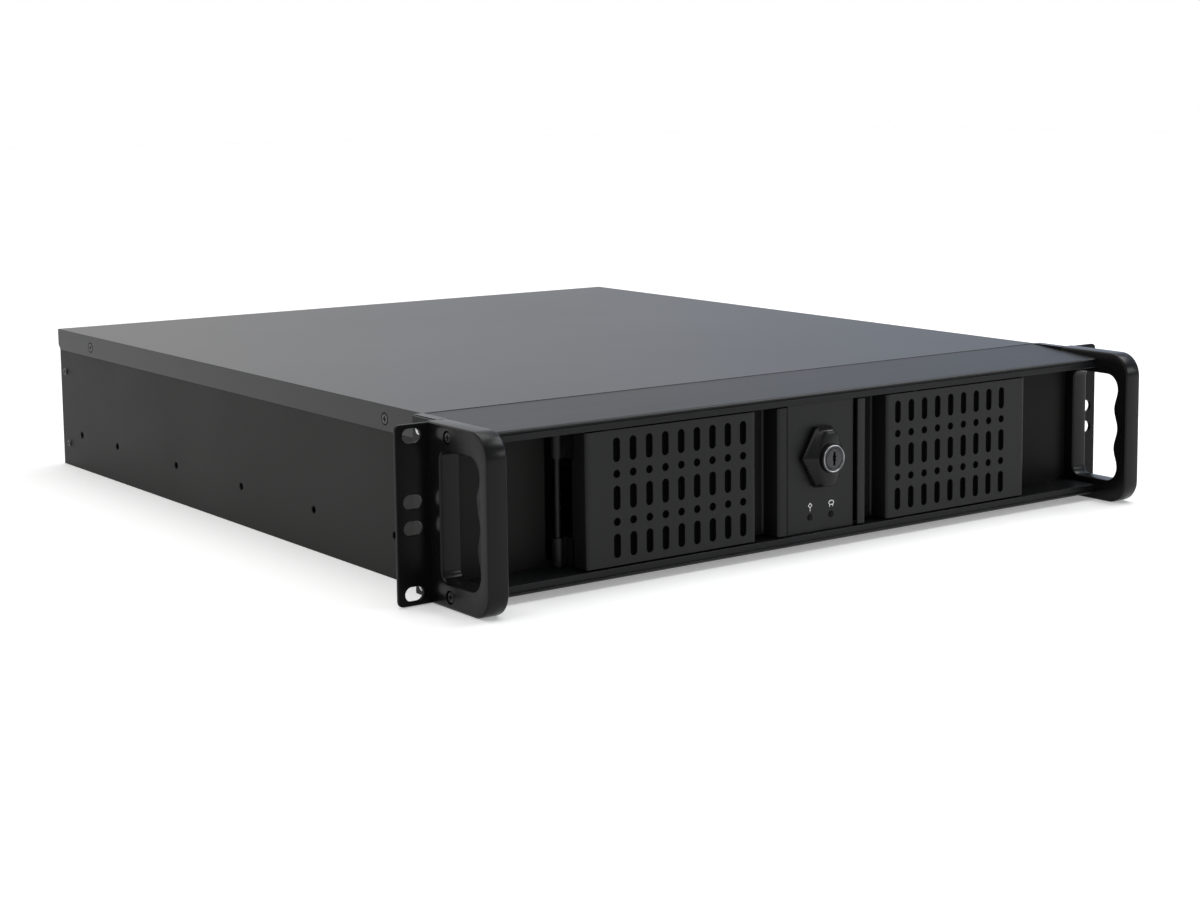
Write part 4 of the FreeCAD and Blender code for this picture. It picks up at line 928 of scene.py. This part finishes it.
def studio_floor():
    """Pale floor, white to the camera where nothing shades it."""
    mesh = bpy.data.meshes.new("floor")
    half = 6.0
    mesh.from_pydata([(-half, -half, 0), (half, -half, 0), (half, half, 0), (-half, half, 0)],
                     [], [(0, 1, 2, 3)])
    floor = loose("studio_floor", mesh)
    paint = bpy.data.materials.new("pale_floor")
    paint.use_nodes = True
    tree = paint.node_tree
    tree.nodes.remove(tree.nodes["Principled BSDF"])
    out = tree.nodes["Material Output"]
    matt = step(tree, "ShaderNodeBsdfDiffuse", values=[("Color", (0.8, 0.8, 0.8, 1))])
    rays = tree.nodes.new("ShaderNodeLightPath")
    seen = sums(tree, "MAXIMUM", rays.outputs["Is Camera Ray"], rays.outputs["Is Glossy Ray"])
    shine = step(tree, "ShaderNodeEmission", [("Strength", sums(tree, "MULTIPLY", seen, 0.3))])
    both = step(tree, "ShaderNodeAddShader", [(0, matt.outputs[0]), (1, shine.outputs[0])])
    tree.links.new(both.outputs[0], out.inputs["Surface"])
    mesh.materials.append(paint)


def studio_world():
    """Soft room light, cooler towards +X and weaker from the front, before a white backdrop."""
    world = bpy.data.worlds.new("studio")
    bpy.context.scene.world = world
    world.use_nodes = True
    tree = world.node_tree
    back = tree.nodes["Background"]
    sky = tree.nodes.new("ShaderNodeTexCoord").outputs["Generated"]
    way = step(tree, "ShaderNodeSeparateXYZ", [(0, sky)])
    across = step(tree, "ShaderNodeMapRange", [("Value", way.outputs["X"])],
                  [("From Min", 0.25), ("From Max", 0.95)], interpolation_type="SMOOTHSTEP")
    room = step(tree, "ShaderNodeMix", [("Factor", across.outputs["Result"])],
                [("A", (1.0, 0.985, 0.965, 1)), ("B", (0.42, 0.52, 0.70, 1))],
                data_type="RGBA")
    ahead = step(tree, "ShaderNodeMapRange", [("Value", way.outputs["Y"])],
                 [("From Min", 0.0), ("From Max", -0.7)], interpolation_type="SMOOTHSTEP")
    dimmed = step(tree, "ShaderNodeMix", [
        ("Factor", ahead.outputs["Result"]), ("A", room.outputs["Result"])],
        [("B", (0.40, 0.42, 0.43, 1))], data_type="RGBA")
    rays = tree.nodes.new("ShaderNodeLightPath").outputs
    seen = step(tree, "ShaderNodeMix", [
        ("Factor", rays["Is Camera Ray"]), ("A", dimmed.outputs["Result"])],
        [("B", (1, 1, 1, 1))], data_type="RGBA")
    tree.links.new(seen.outputs["Result"], back.inputs["Color"])
    full = sums(tree, "MAXIMUM", rays["Is Camera Ray"], rays["Is Glossy Ray"])
    full = sums(tree, "MAXIMUM", full, rays["Is Transmission Ray"])
    level = step(tree, "ShaderNodeMapRange", [("Value", full)],
                 [("To Min", 0.55), ("To Max", 1.0)])
    tree.links.new(level.outputs["Result"], back.inputs["Strength"])


def aimed(name, light, place, aim=(0, 0, 0)):
    """Sets a light at a place in metres, turned to shine on a point."""
    thing = loose(name, light)
    thing.location = place
    thing.rotation_euler = (Vector(aim) - Vector(place)).to_track_quat("-Z", "Y").to_euler()


def soft_box(name, place, aim, size, power):
    """Rectangular lamp; sizes in metres and power in watts."""
    light = bpy.data.lights.new(name, "AREA")
    light.shape = "RECTANGLE"
    light.size, light.size_y = size
    light.energy = power
    aimed(name, light, place, aim)


def wide_sun(name, place, strength, spread):
    """Even light over the whole floor, from a broad patch of sky."""
    light = bpy.data.lights.new(name, "SUN")
    light.energy = strength
    light.angle = math.radians(spread)
    aimed(name, light, place)


studio_floor()
studio_world()
wide_sun("overhead_light", (0.3, 0.5, 2.0), 1.5, 50)
soft_box("left_box", (-1.7, -0.3, 1.9), (0, -0.1, 0.05), (1.2, 1.2), 9)
soft_box("front_box", (1.25, -1.55, 0.6), (0, -0.2, 0.05), (0.9, 0.5), 6)
soft_box("edge_box", (1.15, -0.5, 1.5), (0, -0.25, 0.05), (1.2, 0.6), 12)


# ---------------------------------------------------------------- camera

def product_camera():
    """Long lens from the front left, a little above the case."""
    lens = bpy.data.cameras.new("camera")
    camera = loose("camera", lens)
    lens.sensor_width = 36
    lens.lens = 65.889
    lens.shift_x, lens.shift_y = -0.11667, -0.08333
    lens.clip_end = 50
    place = Vector((-0.7503, -1.1068, 0.2528))
    turn, tip, roll = math.radians(38.75), math.radians(7.29), math.radians(-0.17)
    camera.matrix_world = (Matrix.Translation(place)
                           @ Matrix.Rotation(-turn, 4, "Z")
                           @ Matrix.Rotation(math.pi / 2 - tip, 4, "X")
                           @ Matrix.Rotation(roll, 4, "Z"))
    bpy.context.scene.camera = camera
    bpy.context.scene.view_settings.view_transform = "Standard"


product_camera()
